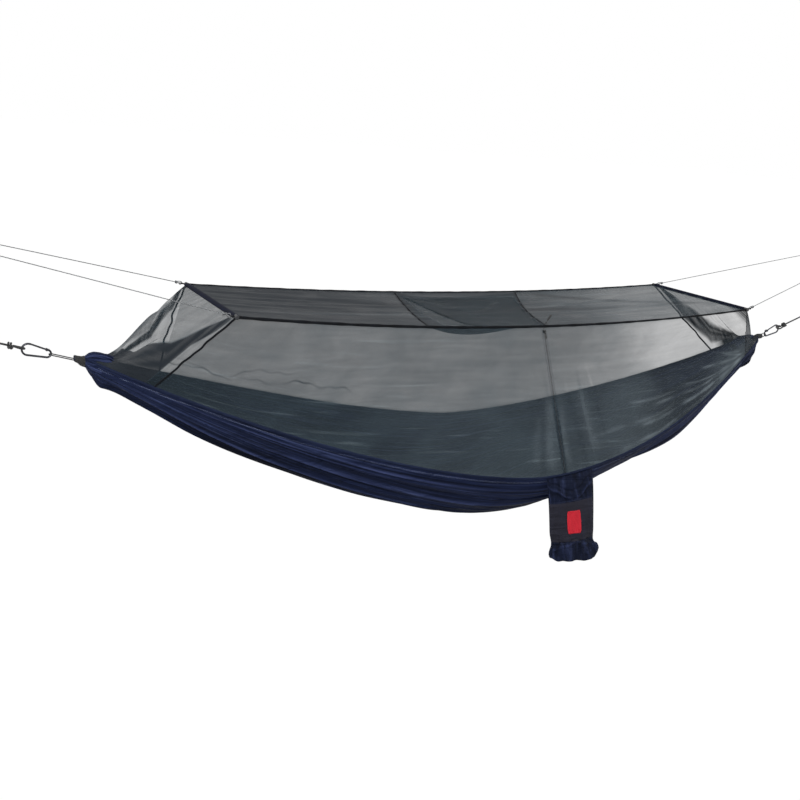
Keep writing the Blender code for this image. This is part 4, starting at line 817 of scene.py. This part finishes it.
veils = {
    # both walls at the left, each at the right, and metres from the middle where it fades
    "wall": 0.64, "right": (0.22, 0.38), "fade": ((0.33, 0.64), (0.55, 0.95)),
    "top": (0.97, 0.88, 0.73), "aboveLoft": 0.40, "ends": {left: 0.44, right: 0.34},
    "folded": 0.97, "wallEdge": (0.18, 0.02), "topEdge": (0.12, 0.02), "zipTape": 0.74,
    # creases of the top: metres from the middle and share across at both ends, half width, and
    # how much denser
    "topCreases": (((-0.95, 0.80), (0.90, 0.35), 0.05, 0.07),
                   ((-0.90, 0.25), (0.10, 0.50), 0.03, -0.07),
                   ((0.35, 0.90), (0.95, 0.30), 0.05, 0.10),
                   ((-0.30, 0.35), (0.95, 0.85), 0.03, -0.06)),
    # the loft's left, right and pocket seams on the top: half width and strength
    "loftSeams": ((0.0060, 1.0), (0.0050, 1.0), (0.0075, 0.9)), "pocketSeen": 0.85,
    # streaks by the zip: row x at the top and at the rim, first and last share down, half
    # width, and how much paler or denser
    "streaks": ((1.735, 1.62, 0.55, 1.0, 0.012, -0.12), (1.765, 1.80, 0.45, 1.0, 0.008, -0.12),
                (1.86, 1.92, 0.35, 0.8, 0.006, -0.12), (1.70, 1.70, 0.4, 1.0, 0.008, 0.10),
                (1.83, 1.84, 0.4, 1.0, 0.006, 0.12)),
    # the far wall's slack lies in two wandering lines near the rim: share down, half width,
    # strength, and where each ends
    "wander": ((9, 0, 0, 0.035), (31, 0, 1, 0.018), (83, 0, 0, 0.008)),
    "slackLines": ((0.885, 0.008, 0.30, (1.25, 1.6)), (0.825, 0.006, 0.22, (1.1, 1.5))),
    # folds that catch the light: row x at the top and at the rim, first and last share down,
    # half width, strength
    "uprights": ((1.735, 1.655, 0.50, 0.98, 0.022, 0.11), (1.755, 1.725, 0.55, 0.97, 0.013, 0.10),
                 (1.80, 1.865, 0.45, 0.92, 0.018, 0.10), (1.715, 1.60, 0.62, 0.95, 0.015, 0.06)),
    # painted highlights of folds that fan out from the right corner: metres right of the middle and
    # share down at both ends, half width, strength
    "fan": (((0.62, 0.86), (1.13, 0.94), 0.016, 0.34), ((0.50, 0.74), (1.10, 0.90), 0.012, 0.30),
            ((0.30, 0.97), (0.98, 0.955), 0.010, 0.22), ((0.78, 0.62), (1.08, 0.84), 0.014, 0.34),
            ((0.86, 0.52), (1.08, 0.76), 0.012, 0.26), ((0.42, 0.86), (0.90, 0.90), 0.010, 0.22),
            ((0.66, 0.70), (1.00, 0.86), 0.008, 0.30), ((0.20, 0.80), (0.60, 0.84), 0.012, 0.14),
            ((0.92, 0.60), (1.12, 0.86), 0.012, 0.28), ((0.36, 0.66), (0.80, 0.76), 0.010, 0.18)),
    # edges of the ends' folded bands: shares down, then shares across
    "leftLow": ((0, 0.12, 0.28, 0.45, 0.54), (0.020, 0.030, 0.088, 0.090, 0.0)),
    "leftHigh": ((0, 0.1, 0.25, 0.35, 0.45, 0.54, 0.61, 0.69, 0.74),
                 (0.055, 0.09, 0.155, 0.19, 0.235, 0.27, 0.32, 0.40, 0.60)),
    "leftFar": ((0, 0.12, 0.19, 0.24, 0.32, 0.38, 0.44, 0.54, 0.66, 0.73, 0.85),
                (0.95, 0.93, 0.91, 0.88, 0.84, 0.82, 0.80, 0.81, 0.84, 0.88, 0.90)),
    "rightFar": ((0, 0.14, 0.24, 0.33, 0.43, 0.58, 0.75),
                 (0.95, 0.93, 0.93, 0.88, 0.83, 0.83, 0.86)),
    "rightHalf": ((0, 0.14, 0.24, 0.33, 0.58, 0.75), (0.020, 0.042, 0.062, 0.092, 0.11, 0.11)),
}


# Where the near wall's folds catch the light. The far wall's don't.
def wallGlint(side, x, down):
    if side == far:
        return 0.0
    fromMiddle = x - middle[0]
    glint = 0
    for top, foot, first, last, wide, strength in veils["uprights"]:
        away = x - blend(top, foot, down) - 0.004 * np.sin(14 * down)
        glint = glint + strength * between(down, first, 0.10, last - 0.03, 0.05) * bell(away, wide)
    for first, last, wide, strength in veils["fan"]:
        broken = 0.55 + 0.45 * np.sin(33 * x + 70 * wide) * np.sin(13 * x)
        wander = 0.006 * np.sin(21 * x + 300 * wide)
        glint = glint + 1.4 * strength * broken * crease(
            fromMiddle, down + wander, (first, last), 1.3 * wide)
    # a broad painted highlight over the lower wall, growing towards the right
    bunch = 0.06 * smooth(fromMiddle, -0.8, -0.2) + 0.16 * smooth(fromMiddle, -0.1, 0.8)
    return np.clip(glint + bunch * smooth(down, 0.30, 0.6), 0, 0.65)


# A wall's veil thins to the right. It's denser along its edges and where the net bunches.
def wallVeil(side, x, down):
    fromMiddle = x - middle[0]
    veil = blend(veils["wall"], veils["right"][side], smooth(fromMiddle, *veils["fade"][side]))
    if side == near:
        for top, foot, first, last, wide, strength in veils["streaks"]:
            veil = veil + strength * bell(x - blend(top, foot, down), wide) * between(
                down, first, 0.15, last, 0.05)
        veil = blend(veil, 0.72, smooth(fromMiddle, 0.72, 1.1) * smooth(down, 0.45, 0.8))
    else:
        broken = 0.5 + 0.5 * np.sin(23 * x) * np.sin(11 * x + 2)
        drift = waves(veils["wander"], x)
        for (line, wide, strength, (first, last)), shown, more in zip(
                veils["slackLines"], (broken, 1 - broken), (0, 0.05 * np.sin(13 * x + 1))):
            veil = veil + strength * shown * bell(down - line - drift + more, wide) * (
                1 - smooth(x, first, last))
    more, half = veils["wallEdge"]
    return veil + more * bell(np.minimum(down, 1 - down), half)


# The top's veil thins to the right too, and the loft shows through it between sewn hems.
def topVeil(x, across):
    atLeft, atMiddle, atRight = veils["top"]
    veil = (atLeft + (atMiddle - atLeft) * smooth(x, -0.9, -0.1)
            + (atRight - atMiddle) * smooth(x, 0.1, 0.8))
    for start, end, wide, strength in veils["topCreases"]:
        veil = veil + strength * crease(x, across, (start, end), wide)
    first, last = loftX(0.0, across), loftX(1.0, across)
    gap = 0.020 + 0.045 * (1 - across)
    above = smooth(x, first + gap - 0.01, first + gap) * (1 - smooth(x, last - 0.02, last - 0.01))
    above = above * (1 - smooth(across, 0.80, 0.88)) * smooth(across, 0.0, 0.03)
    veil = veil - veils["aboveLoft"] * above
    pocket = blend(first, last, veils["pocketSeen"] * (1 - across))
    seam = sum(strength * bell(x - line, half, 4)
               for line, (half, strength) in zip((first, last, pocket), veils["loftSeams"]))
    more, half = veils["topEdge"]
    return blend(veil, 1.0, np.clip(seam, 0, 1)) + more * bell(np.minimum(across, 1 - across), half)


# The ends are gathered, so the net lies folded along their flanks: by the gather it's all
# folded, and by the bar only two bands are.
def endVeil(end, rows, columns):
    down, across = np.linspace(0, 1, rows)[:, None], np.linspace(0, 1, columns)[None]
    bend = {key: np.interp(down, *veils[key])
            for key in ("leftLow", "leftHigh", "leftFar", "rightFar", "rightHalf")}
    if end == left:
        masks = (between(across, bend["leftLow"], 0.006, bend["leftHigh"], 0.012)
                 * smooth(down, 0.01, 0.05),
                 bell(across - bend["leftFar"], 0.024, 6) * (1 - smooth(down, 0.80, 0.9)),
                 0.50 * between(across, 0.62, 0.06, 0.78, 0.02) * smooth(down, 0.10, 0.35),
                 smooth(down, 0.74, 0.82))
    else:
        sooner = 0.12 * smooth(across, 0.5, 0.7)
        masks = (0.95 * bell(across - bend["rightFar"], bend["rightHalf"], 8),
                 0.7 * smooth(across, 0.985, 0.995),
                 (1 - smooth(across, 0.14, 0.24)) * (0.65 + 0.35 * np.sin(90 * across) ** 2),
                 smooth(down, 0.62 - sooner, 0.80 - sooner))
    mask = np.max(np.broadcast_arrays(*masks), axis=0)
    pleats = 0.07 * np.sin(70 * across + 6 * np.sin(9 * across)) * (1 - down)
    return blend(veils["ends"][end], veils["folded"], np.clip(mask, 0, 1)) + pleats


# The top, the near wall's two panels, the far wall and both ends.
def makeNet():
    rows, columns = net["topPoints"]
    points = topGrid(rows, columns)
    sheetPiece("netTop", points, netMesh, "stretched", ["near_top_binding"], ["net_top"],
               veil=topVeil(points[..., 0] - middle[0], np.linspace(0, 1, columns)[None]))
    for name, side, first, last, (rows, columns), gap, solid in (
            ("netNearLeft", near, -1, 0, net["wallPoints"], net["zipGap"], "net_near_left"),
            ("netNearRight", near, 0, 1, net["wallPoints"], net["zipGap"], "net_near_right"),
            ("netFar", far, -1, 1, net["farPoints"], 0.0, "net_far")):
        points = wallGrid(side, first, last, rows, columns, gap)
        x, down = points[..., 0], np.linspace(0, 1, columns)[None]
        sheetPiece(name, points, netMesh, "hung",
                   [f"{sideNames[side]}_top_binding", f"{sideNames[side]}_rim_binding"], [solid],
                   veil=wallVeil(side, x, down), glint=wallGlint(side, x, down))
    for end, name in endNames.items():
        sheetPiece(f"{name}NetEnd", endGrid(end, *net["endPoints"]), netMesh, "hung",
                   [f"{name}_bar_tunnel"], [f"net_{name}_end"],
                   veil=endVeil(end, *net["endPoints"]))


makeNet()
print("net made")


# The loft hangs from the top: it bellies most at its near side and stays open at the far one.
def loftGrid(u, v):
    x = loftX(u, v)
    half = net["barHalf"] - loft["inset"]
    y = np.broadcast_to(-half + 2 * half * v, x.shape)
    over = (y + net["barHalf"]) / (2 * net["barHalf"])
    sag = blend(*net["sags"], over) + net["middleSag"] * np.sin(math.pi * over)
    sag = sag * (1 - (x / net["barFromMiddle"]) ** 2)
    hang = np.sin(math.pi * u ** 0.75) * np.sin(math.pi / 2 * np.minimum(1, loft["steep"] * v))
    opened = np.maximum(0, v - loft["mouthFrom"]) / (1 - loft["mouthFrom"])
    hang = hang * (1 - (1 - loft["mouth"]) * opened)
    z = net["barRise"] - sag - loft["drop"] - loft["sag"] * hang
    return np.stack((x, y, z), axis=-1) + middle


# The sling with its doubled pocket, and a tape along each of its seams.
def makeLoft():
    columns, rows = loft["columns"], loft["rows"]
    u, v = np.linspace(0, 1, columns)[:, None], np.linspace(0, 1, rows)[None]
    points = loftGrid(u, v)
    pocket = loft["pocket"] * (1 - v)  # the edge of the doubled part
    edge = np.minimum(np.minimum(u, 1 - u), np.minimum(v, 1 - v) * 1.2)
    veil = blend(loft["single"], loft["double"], smooth(u, pocket - 0.01, pocket + 0.01))
    veil = blend(veil, loft["hem"], np.maximum(bell(edge, 0.020, 4), bell(u - pocket, 0.010)))
    sheetPiece("loftNetSling", points, netMesh, "hung", ["near_top_binding"], ["gear_loft"],
               veil=veil)
    where = np.clip(pocket[0] * (columns - 1), 0, columns - 1.01)
    floor, row = where.astype(int), np.arange(rows)
    lying = blend(points[floor, row], points[floor + 1, row], (where % 1)[:, None])
    lifted = loft["above"] * zAxis
    for name, path, thick in zip(("loftLeftHem", "loftRightHem", "loftPocketHem"),
                                 (points[0] + lifted, points[-1] + lifted, lying),
                                 loft["hemRadii"]):
        tubePiece(name, path, thick, loft["hemSides"], bindingTape, "hammock")


makeLoft()
print("loft made")

sack = {
    "middleX": 0.0485, "length": 0.285, "lean": 0.13, "seatLean": math.radians(30.5),
    "topRadius": 0.0010, "seatGap": 0.0003, "halfWidth": 0.0925, "halfDepth": 0.027,
    "wall": 0.0010, "hemRows": 9, "girth": 0.36, "rows": 150, "around": 160,
    "levels": (0.0, 0.06, 0.16, 0.34, 0.55, 0.75, 0.90, 1.0),
    "widths": (1.0, 1.0, 0.99, 0.97, 0.95, 0.95, 0.97, 1.0),
    "depths": (0.037, 0.18, 0.34, 0.52, 0.64, 0.74, 0.86, 1.0),
    # waves that grow towards the mouth: turns round and down, shift, height
    "waves": ((3, 9, 0, 0.35), (7, -5, 1, 0.25), (13, 21, 0, 0.12), (23, -14, 0, 0.10)),
    "fullFold": 0.0060,
    # creases from the corners of the seam to the middle of the front: share down at the side,
    # how much lower in the middle, half width, height
    "creases": ((0.09, 0.20, 0.016, 0.0046), (0.16, 0.12, 0.012, -0.0034),
                (0.03, 0.16, 0.012, -0.0036), (0.86, -0.10, 0.02, 0.0034),
                (0.80, -0.05, 0.016, -0.0036)),
    "flare": 0.007, "hemLift": 0.026,
    "hemWaves": ((3, 0, 1, 0.005), (11, 0, 0, 0.0015)),
    "pocket": (0.0825, 0.2155), "pocketHem": 0.010,  # metres down
}
patch = {
    "width": 0.052, "height": 0.076, "middleDown": 0.152, "aside": -0.004, "thickness": 0.0008,
    "points": (40, 50), "pinch": 0.10, "off": 0.0008, "border": 0.0007, "borderAt": 0.93,
    "borderHalf": 0.05,
}


# The sack's seam follows the near rim, a little out from it and down.
def sackSeat(x):
    lean = -math.sin(sack["seatLean"]) * yAxis - math.cos(sack["seatLean"]) * zAxis
    hang = bed["rimRadius"] + sack["seatGap"] + sack["topRadius"]
    return rimPoint(near, 2 * np.asarray(x) / bed["span"]) + lean * hang


# Softened levels: width and depth at a share of the length.
def sackSizes(share):
    return [sum(np.interp(np.clip(share + k * 0.02, 0, 1), sack["levels"], sack[key])
                for k in (-1, 0, 1)) / 3 * sack[size]
            for key, size in (("widths", "halfWidth"), ("depths", "halfDepth"))]


# How far the cloth stands out: waves that grow towards the mouth, and creases over the front
# that bend down from its sides.
def sackFold(angle, share):
    fold = waves(sack["waves"], angle, share) * sack["fullFold"] * share
    front = np.clip(-np.sin(angle), 0, 1) ** 0.3
    for start, slope, wide, high in sack["creases"]:
        bent = start + slope * (1 - np.abs(np.cos(angle))) + 0.01 * np.sin(9 * angle)
        fold = fold + high * front * bell(share - bent, wide)
    return fold


# The sack: flat ovals whose back hangs straight down from the seam. A place is an angle round
# it and a share of its length.
def sackPoint(angle, share, inset=0.0):
    width, deep = sackSizes(share)
    pivot = sackSeat(sack["middleX"])
    cos, fold = np.cos(angle), sackFold(angle, share)
    aside = cos * (width - inset)
    carried = (sackSeat(sack["middleX"] + aside) - pivot) * ((1 - share) ** 2)[..., None]
    carried[..., 0] = 0.0
    flare = smooth(share, 0.72, 1.0) - 0.8 * bell(share - 0.80, 0.09)
    x = aside + sack["lean"] * share * sack["length"] + cos * (fold * 0.45 + sack["flare"] * flare)
    y = np.sin(angle) * (deep - inset + fold) + sack["topRadius"] - deep
    lift = sack["hemLift"] * np.abs(cos) ** 4 + waves(sack["hemWaves"], angle)
    z = lift * smooth(share, 0.80, 1.0) - share * sack["length"]
    return pivot + np.stack((x, y, z), axis=-1) + carried


# Dark navy nylon, with a band of black mesh cloth for the pocket that carries the patch.
def sackCloth():
    material = ripstopNylon("sackNylon", "#171D31", "#0D1222", folded=(14.0, 26.0),
                            paintedHighlight=0.35, thread="#2C3247")
    tree = material.node_tree
    base = tree.nodes["Principled BSDF"].inputs["Base Color"]
    navy = base.links[0].from_node
    split = addNode(tree, "SeparateXYZ", {}, {0: addNode(tree, "UVMap", {"uv_map": "surface"})})
    pocket = tint(tree, navy, "#2F2E36", (split, "X"), (
        (0.0, 0.0), (0.082, 0.0), (0.083, 0.82), (0.215, 0.82), (0.216, 0.0)))
    tree.links.new(pocket.outputs[0], base)
    return material


# An outer wall down to the mouth and an inner one back up inside it, each closed above.
def makeSack():
    rows, around, hem = sack["rows"], sack["around"], sack["hemRows"]
    angle, share = np.broadcast_arrays((np.arange(around) * fullTurn / around)[None],
                                       np.linspace(0, 1, rows)[:, None])
    inner = sackPoint(angle, share, sack["wall"])[::-1][:-hem]
    points = np.concatenate((sackPoint(angle, share), inner))
    down = np.concatenate((share[:, 0], share[::-1, 0][:-hem])) * sack["length"]
    uv = ringUv(down, around, sack["girth"])
    mesh = gridMesh("stuffSack", points[:, ::-1], uv[:, ::-1], closed=True, caps=True)
    # its fold heights set the sack's painted shade and painted highlight
    fold = sackFold(angle, share)
    fold = np.concatenate((fold, 0 * fold[:-hem]))[:, ::-1] / sack["fullFold"]
    fromHem = sack["pocketHem"] + np.min([np.abs(down - line) for line in sack["pocket"]], axis=0)
    addValues(mesh, fold=fold, across=np.broadcast_to(angle[:1] / fullTurn, fold.shape),
              fromRim=np.broadcast_to(fromHem[:, None], fold.shape))
    place("stuffSack", mesh, sackCloth(), "stuff_sack", ["stuff_sack"])


# Embroidered twill patch: raised diagonal ribs of satin thread with a stitched border.
def makePatch():
    red = ribbedCloth("redTwillPatch", ((0.0, "#C8202F"), (0.8, "#E63545")), lean=0.8,
                      Roughness=0.7, Specular_IOR_Level=0.2)
    columns, rows = patch["points"]
    u, v = np.linspace(-0.5, 0.5, columns)[:, None], np.linspace(-0.5, 0.5, rows)[None]
    pinch = 1 - patch["pinch"] * np.clip(np.abs(2 * v) - 0.72, 0, 1) / 0.28  # rounded corners
    offset = patch["width"] * u * pinch + patch["aside"]
    share = (patch["middleDown"] + patch["height"] * v + 0 * u) / sack["length"]
    angle = -np.arccos(np.clip(offset / sackSizes(share)[0], -1, 1))
    rim = np.maximum(np.abs(2 * u), np.abs(2 * v))
    lift = patch["off"] + patch["border"] * bell(rim - patch["borderAt"], patch["borderHalf"])
    sheetPiece("sackPatch", sackPoint(angle, share) - yAxis * lift[..., None], red, "stretched",
               ["stuff_sack"], ["sack_patch"], "red_patch", patch["thickness"], "stuff_sack")


makeSack()
makePatch()
print("sack made")

gather = {
    # distance inwards from the outer tip, radius, and drop of the centre; the tip takes in the
    # ends of the cord loop
    "profile": ((0.000, 0.0074, 0.000), (0.0015, 0.0086, 0.000), (0.009, 0.0089, 0.003),
                (0.017, 0.0125, 0.008), (0.024, 0.0135, 0.010), (0.031, 0.0160, 0.010),
                (0.037, 0.0240, 0.014), (0.045, 0.0320, 0.018), (0.059, 0.0380, 0.023),
                (0.077, 0.0420, 0.030), (0.096, 0.0430, 0.036), (0.116, 0.0380, 0.044),
                (0.136, 0.0270, 0.054), (0.151, 0.0080, 0.066)),
    "tip": 0.034, "scale": {left: 1.0, right: 0.75}, "lead": {left: 0.0, right: 0.018},
    "pleats": 13, "depth": 0.16, "twist": 3.0, "girth": 0.15, "rows": 70, "around": 208,
    "windings": {left: 11, right: 17}, "cord": 0.0013, "windingFrom": 0.001, "windingPitch": 0.0026,
    "turnRings": 24, "cordSides": 8,
}


# The bunched head: a spindle of pleated cloth, squeezed at the lashing. The pleats are a wave
# round it whose sharpness changes, and they grow where the lashing lets them go.
def makeGather(end, name):
    table = np.array(gather["profile"])
    along = np.linspace(0, table[-1, 0], gather["rows"])
    later = np.maximum(along - gather["lead"][end], 0.5 * along / (0.01 + along) * 0.01)
    radius, drop = (sum(np.interp(later + k * 0.002, table[:, 0], table[:, n])
                        for k in (-1, 0, 1)) / 3 for n in (1, 2))
    radius = radius * (1 + (gather["scale"][end] - 1) * smooth(along, 0.02, 0.05))
    angle = (np.arange(gather["around"]) * fullTurn / gather["around"])[None]
    twist = gather["twist"] * along[:, None]
    grow = (0.35 + 0.65 * smooth(along, 0.025, 0.06))[:, None]
    wave = np.sin(gather["pleats"] / 2 * (angle + twist) + 0.8 * np.sin(2 * angle + 1))
    wave = np.abs(wave) - 0.6 + 0.35 * np.sin(5 * angle - 30 * along[:, None] + end)
    r = radius[:, None] * (1 + gather["depth"] * grow * wave)
    x = end * (bed["span"] / 2 + gather["tip"] - along)[:, None] + 0 * angle
    points = np.stack((x, r * np.cos(angle), r * np.sin(angle) - drop[:, None]), axis=-1) + middle
    uv = ringUv(along, gather["around"], gather["girth"])
    if end == right:
        points, uv, wave = points[:, ::-1], uv[:, ::-1], wave[:, ::-1]
    mesh = gridMesh("gatherHead", points, uv, closed=True, caps=True)
    # the pleats' wave sets the head's painted shade and painted highlight
    addValues(mesh, fold=wave, across=np.broadcast_to(angle / fullTurn, wave.shape),
              fromRim=np.ones(wave.shape))
    place(f"{name}GatherHead", mesh, bedNylon, "hammock", [f"{name}_knot"])
    count = gather["windings"][end]
    turn = np.linspace(0, count * fullTurn, count * gather["turnRings"])
    inward = gather["windingFrom"] + turn / fullTurn * gather["windingPitch"]
    r = np.interp(inward, along, radius) + 0.5 * gather["cord"]
    path = np.stack((end * (bed["span"] / 2 + gather["tip"] - inward), r * np.cos(turn),
                     r * np.sin(turn) - np.interp(inward, along, drop)), axis=-1)
    tubePiece(f"{name}GatherLashing", path + middle, gather["cord"], gather["cordSides"],
              blackBraid, "hammock")


for gatherEnd, gatherName in endNames.items():
    makeGather(gatherEnd, gatherName)
print("gathers made")

seams = {"near": 0.0044, "nearThinner": 0.0012, "far": 0.0032, "corner": 0.0030,
         "rightNear": 0.0009, "wander": 0.0035, "leftFarDraw": 0.014, "uneven": 0.16,
         "sides": 12, "topRings": 200, "cornerRings": 60, "cornerEnds": (0.02, 0.99)}


# Tapes along the top and down the corners, whose cloth wanders and thickens a little.
def makeSeams():
    for side, sideName in enumerate(sideNames):
        share = np.linspace(-1, 1, seams["topRings"])
        path = topPoint(side, share)
        thick = seams[sideName] - (side == near) * seams["nearThinner"] * smooth(share, 0.1, 0.7)
        radii = thick * (1 + seams["uneven"] * np.sin(80 * path[:, 0]) * np.sin(23 * path[:, 0]))
        tubePiece(f"{sideName}TopTape", path, radii, seams["sides"], bindingTape, "hammock",
                  [f"{sideName}_top_binding"])
        for end, endName in endNames.items():
            t = np.linspace(*seams["cornerEnds"], seams["cornerRings"])[:, None]
            path = blend(barEnd(end, side), rimPoint(side, cornerShare(end, side)), t)
            arch = np.sin(math.pi * t)
            wave = (np.sin(19 * t + end) + 0.5 * np.sin(43 * t + 2)) * arch
            path = path + xAxis * seams["wander"] * wave * (1.0 if side == far else 0.7)
            if (end, side) == (left, far):  # drawn outwards by the end's pull
                path = path - xAxis * seams["leftFarDraw"] * arch
            thick = seams["rightNear" if (end, side) == (right, near) else "corner"]
            tubePiece(f"{endName}{sideName.title()}CornerTape", path, thick, seams["sides"],
                      bindingTape, "hammock", [f"{endName}_{sideName}_corner_tape"])


makeSeams()
print("seams made")

zipLine = {
    "head": np.array((1.74, -0.257, 0.04907)), "down": np.array((-0.07349, -0.52501, -0.84792)),
    "across": np.array((0.9973, -0.03869, -0.06248)), "out": np.array((0.0, -0.85022, 0.52644)),
    "length": 0.4975, "tape": 0.0095, "ripple": 0.0004, "turns": 220, "coilHalf": 0.0016,
    "coilRise": 0.0011, "wire": 0.00045, "wireSides": 5, "turnRings": 8, "tapePoints": (120, 7),
    "tapeEnds": (0.004, 0.996), "tapeGap": 0.0006,
}


# Two tapes of fine net cloth, and the closed coil between them: an ellipse wound down the line.
def makeZip():
    down = zipLine["down"] * zipLine["length"]
    for name, sign in (("left", -1), ("right", 1)):
        rows, columns = zipLine["tapePoints"]
        s = np.linspace(*zipLine["tapeEnds"], rows)[:, None, None]
        w = np.linspace(zipLine["tapeGap"], zipLine["tape"], columns)[None, :, None]
        ripple = zipLine["ripple"] * np.sin(90 * s + 3 * sign) * (w / zipLine["tape"])
        points = (zipLine["head"] + down * s + zipLine["across"] * sign * w
                  + zipLine["out"] * ripple)[:, ::sign]
        mesh = gridMesh("zipTape", points, metreUv(points))
        addValues(mesh, veil=np.full(points.shape[:2], veils["zipTape"]))
        place(f"{name}ZipTape", mesh, netMesh, "hammock", [f"zip_tape_{name}"])
    rings = zipLine["turns"] * zipLine["turnRings"]
    angle = np.linspace(0, zipLine["turns"] * fullTurn, rings)[:, None]
    s = 0.006 + 0.986 * angle / angle[-1]
    rise = zipLine["coilRise"] * np.sin(angle) + zipLine["ripple"]
    path = (zipLine["head"] + down * s + zipLine["across"] * zipLine["coilHalf"] * np.cos(angle)
            + zipLine["out"] * rise)
    tubePiece("zipCoil", path, zipLine["wire"], zipLine["wireSides"], nylon, "hammock")


makeZip()
print("zip made")


# The solids that stay as they are take their finishes.
def dressSolids():
    finishes = {"zip_slider": nylon, "zip_pull": blackBraid, "tieback_staple": blackBraid,
                "tieback_toggle": blackBraid}
    for end in ("left", "right"):
        finishes.update({f"{end}_snap_hook": steel, f"{end}_gate": steel, f"{end}_loop": blackBraid,
                         f"{end}_bar_ferrule": aluminium, f"{end}_bar_tunnel": sleeveTape})
        for side in ("near", "far"):
            finishes.update({f"{end}_{side}_bar": aluminium, f"{end}_{side}_bar_cap": nylon,
                             f"{end}_{side}_guy_ring": bindingTape})
    for node, material in finishes.items():
        bpy.data.objects[node].material_slots[0].material = material


dressSolids()
room = {"floor": -5.0, "size": 400.0, "ambient": 0.27, "white": 0.93, "glow": 1.08}
lamps = {
    # where it stands, what it aims at, metres across and watts
    "keyFrontLeft": ((-1.5, -3.0, 1.5), (1.5, 0.0, -0.3), 1.1, 165),
    "softTop": ((1.8, -0.4, 3.6), (1.8, 0.0, -0.3), 2.4, 12),
    "softBack": ((2.0, 3.6, -0.9), (1.7, 0.0, -0.3), 1.4, 40),
    "softRight": ((4.8, -1.8, 1.2), (2.2, 0.0, -0.3), 1.4, 40),
}


# One for rays that reach the camera straight, by a mirror or through the net.
def seenDirectly(tree):
    ray = addNode(tree, "LightPath")
    seen = addNode(tree, "Math", {"operation": "ADD"},
                   {0: (ray, "Is Camera Ray"), 1: (ray, "Is Glossy Ray")})
    return addNode(tree, "Math", {"operation": "ADD", "use_clamp": True},
                   {0: seen, 1: (ray, "Is Transmission Ray")})


# A white room: its walls are soft light, and its floor glows white where it's seen.
def makeRoom():
    world = bpy.data.worlds.new("whiteRoom")
    bpy.context.scene.world = world
    world.use_nodes = True
    tree = world.node_tree
    tree.nodes.clear()
    plain = addNode(tree, "Background", {"Color": srgb("#F2F5FA"), "Strength": room["ambient"]})
    white = addNode(tree, "Background", {"Color": (1, 1, 1, 1), "Strength": 1.0})
    mix = addNode(tree, "MixShader", {}, {0: seenDirectly(tree), 1: plain, 2: white})
    addNode(tree, "OutputWorld", {}, {"Surface": mix})
    half = room["size"] / 2
    corners = np.array([[[-half, -half], [-half, half]], [[half, -half], [half, half]]])
    points = np.concatenate((corners, np.full((2, 2, 1), room["floor"])), axis=2)
    mesh = gridMesh("floor", points, corners / 4)
    floor = bpy.data.objects.new("floor", mesh)
    bpy.context.collection.objects.link(floor)
    material, tree, shader, *_ = newMaterial("paleFloor", Base_Color=srgb("#8E8E8C"), Roughness=0.9)
    share = addNode(tree, "Math", {"operation": "MULTIPLY", 1: room["white"]},
                    {0: seenDirectly(tree)})
    glow = addNode(tree, "Emission", {"Color": (1, 1, 1, 1), "Strength": room["glow"]})
    mix = addNode(tree, "MixShader", {}, {0: share, 1: shader, 2: glow})
    tree.links.new(mix.outputs[0], tree.nodes["Material Output"].inputs["Surface"])
    mesh.materials.append(material)


# A square lamp that stands at a spot and is turned to what it aims at.
def makeLight(name, spot, aim, size, watts):
    data = bpy.data.lights.new(name, "AREA")
    data.shape, data.size, data.energy, data.color = "SQUARE", size, watts, (1.0, 1.0, 1.0)
    light = bpy.data.objects.new(name, data)
    bpy.context.collection.objects.link(light)
    light.matrix_world = aimed(spot, np.subtract(spot, aim), zAxis + 1e-3 * xAxis)


makeRoom()
for lamp, settings in lamps.items():
    makeLight(lamp, *settings)
bpy.context.scene.view_settings.view_transform = "Standard"
print("room made")
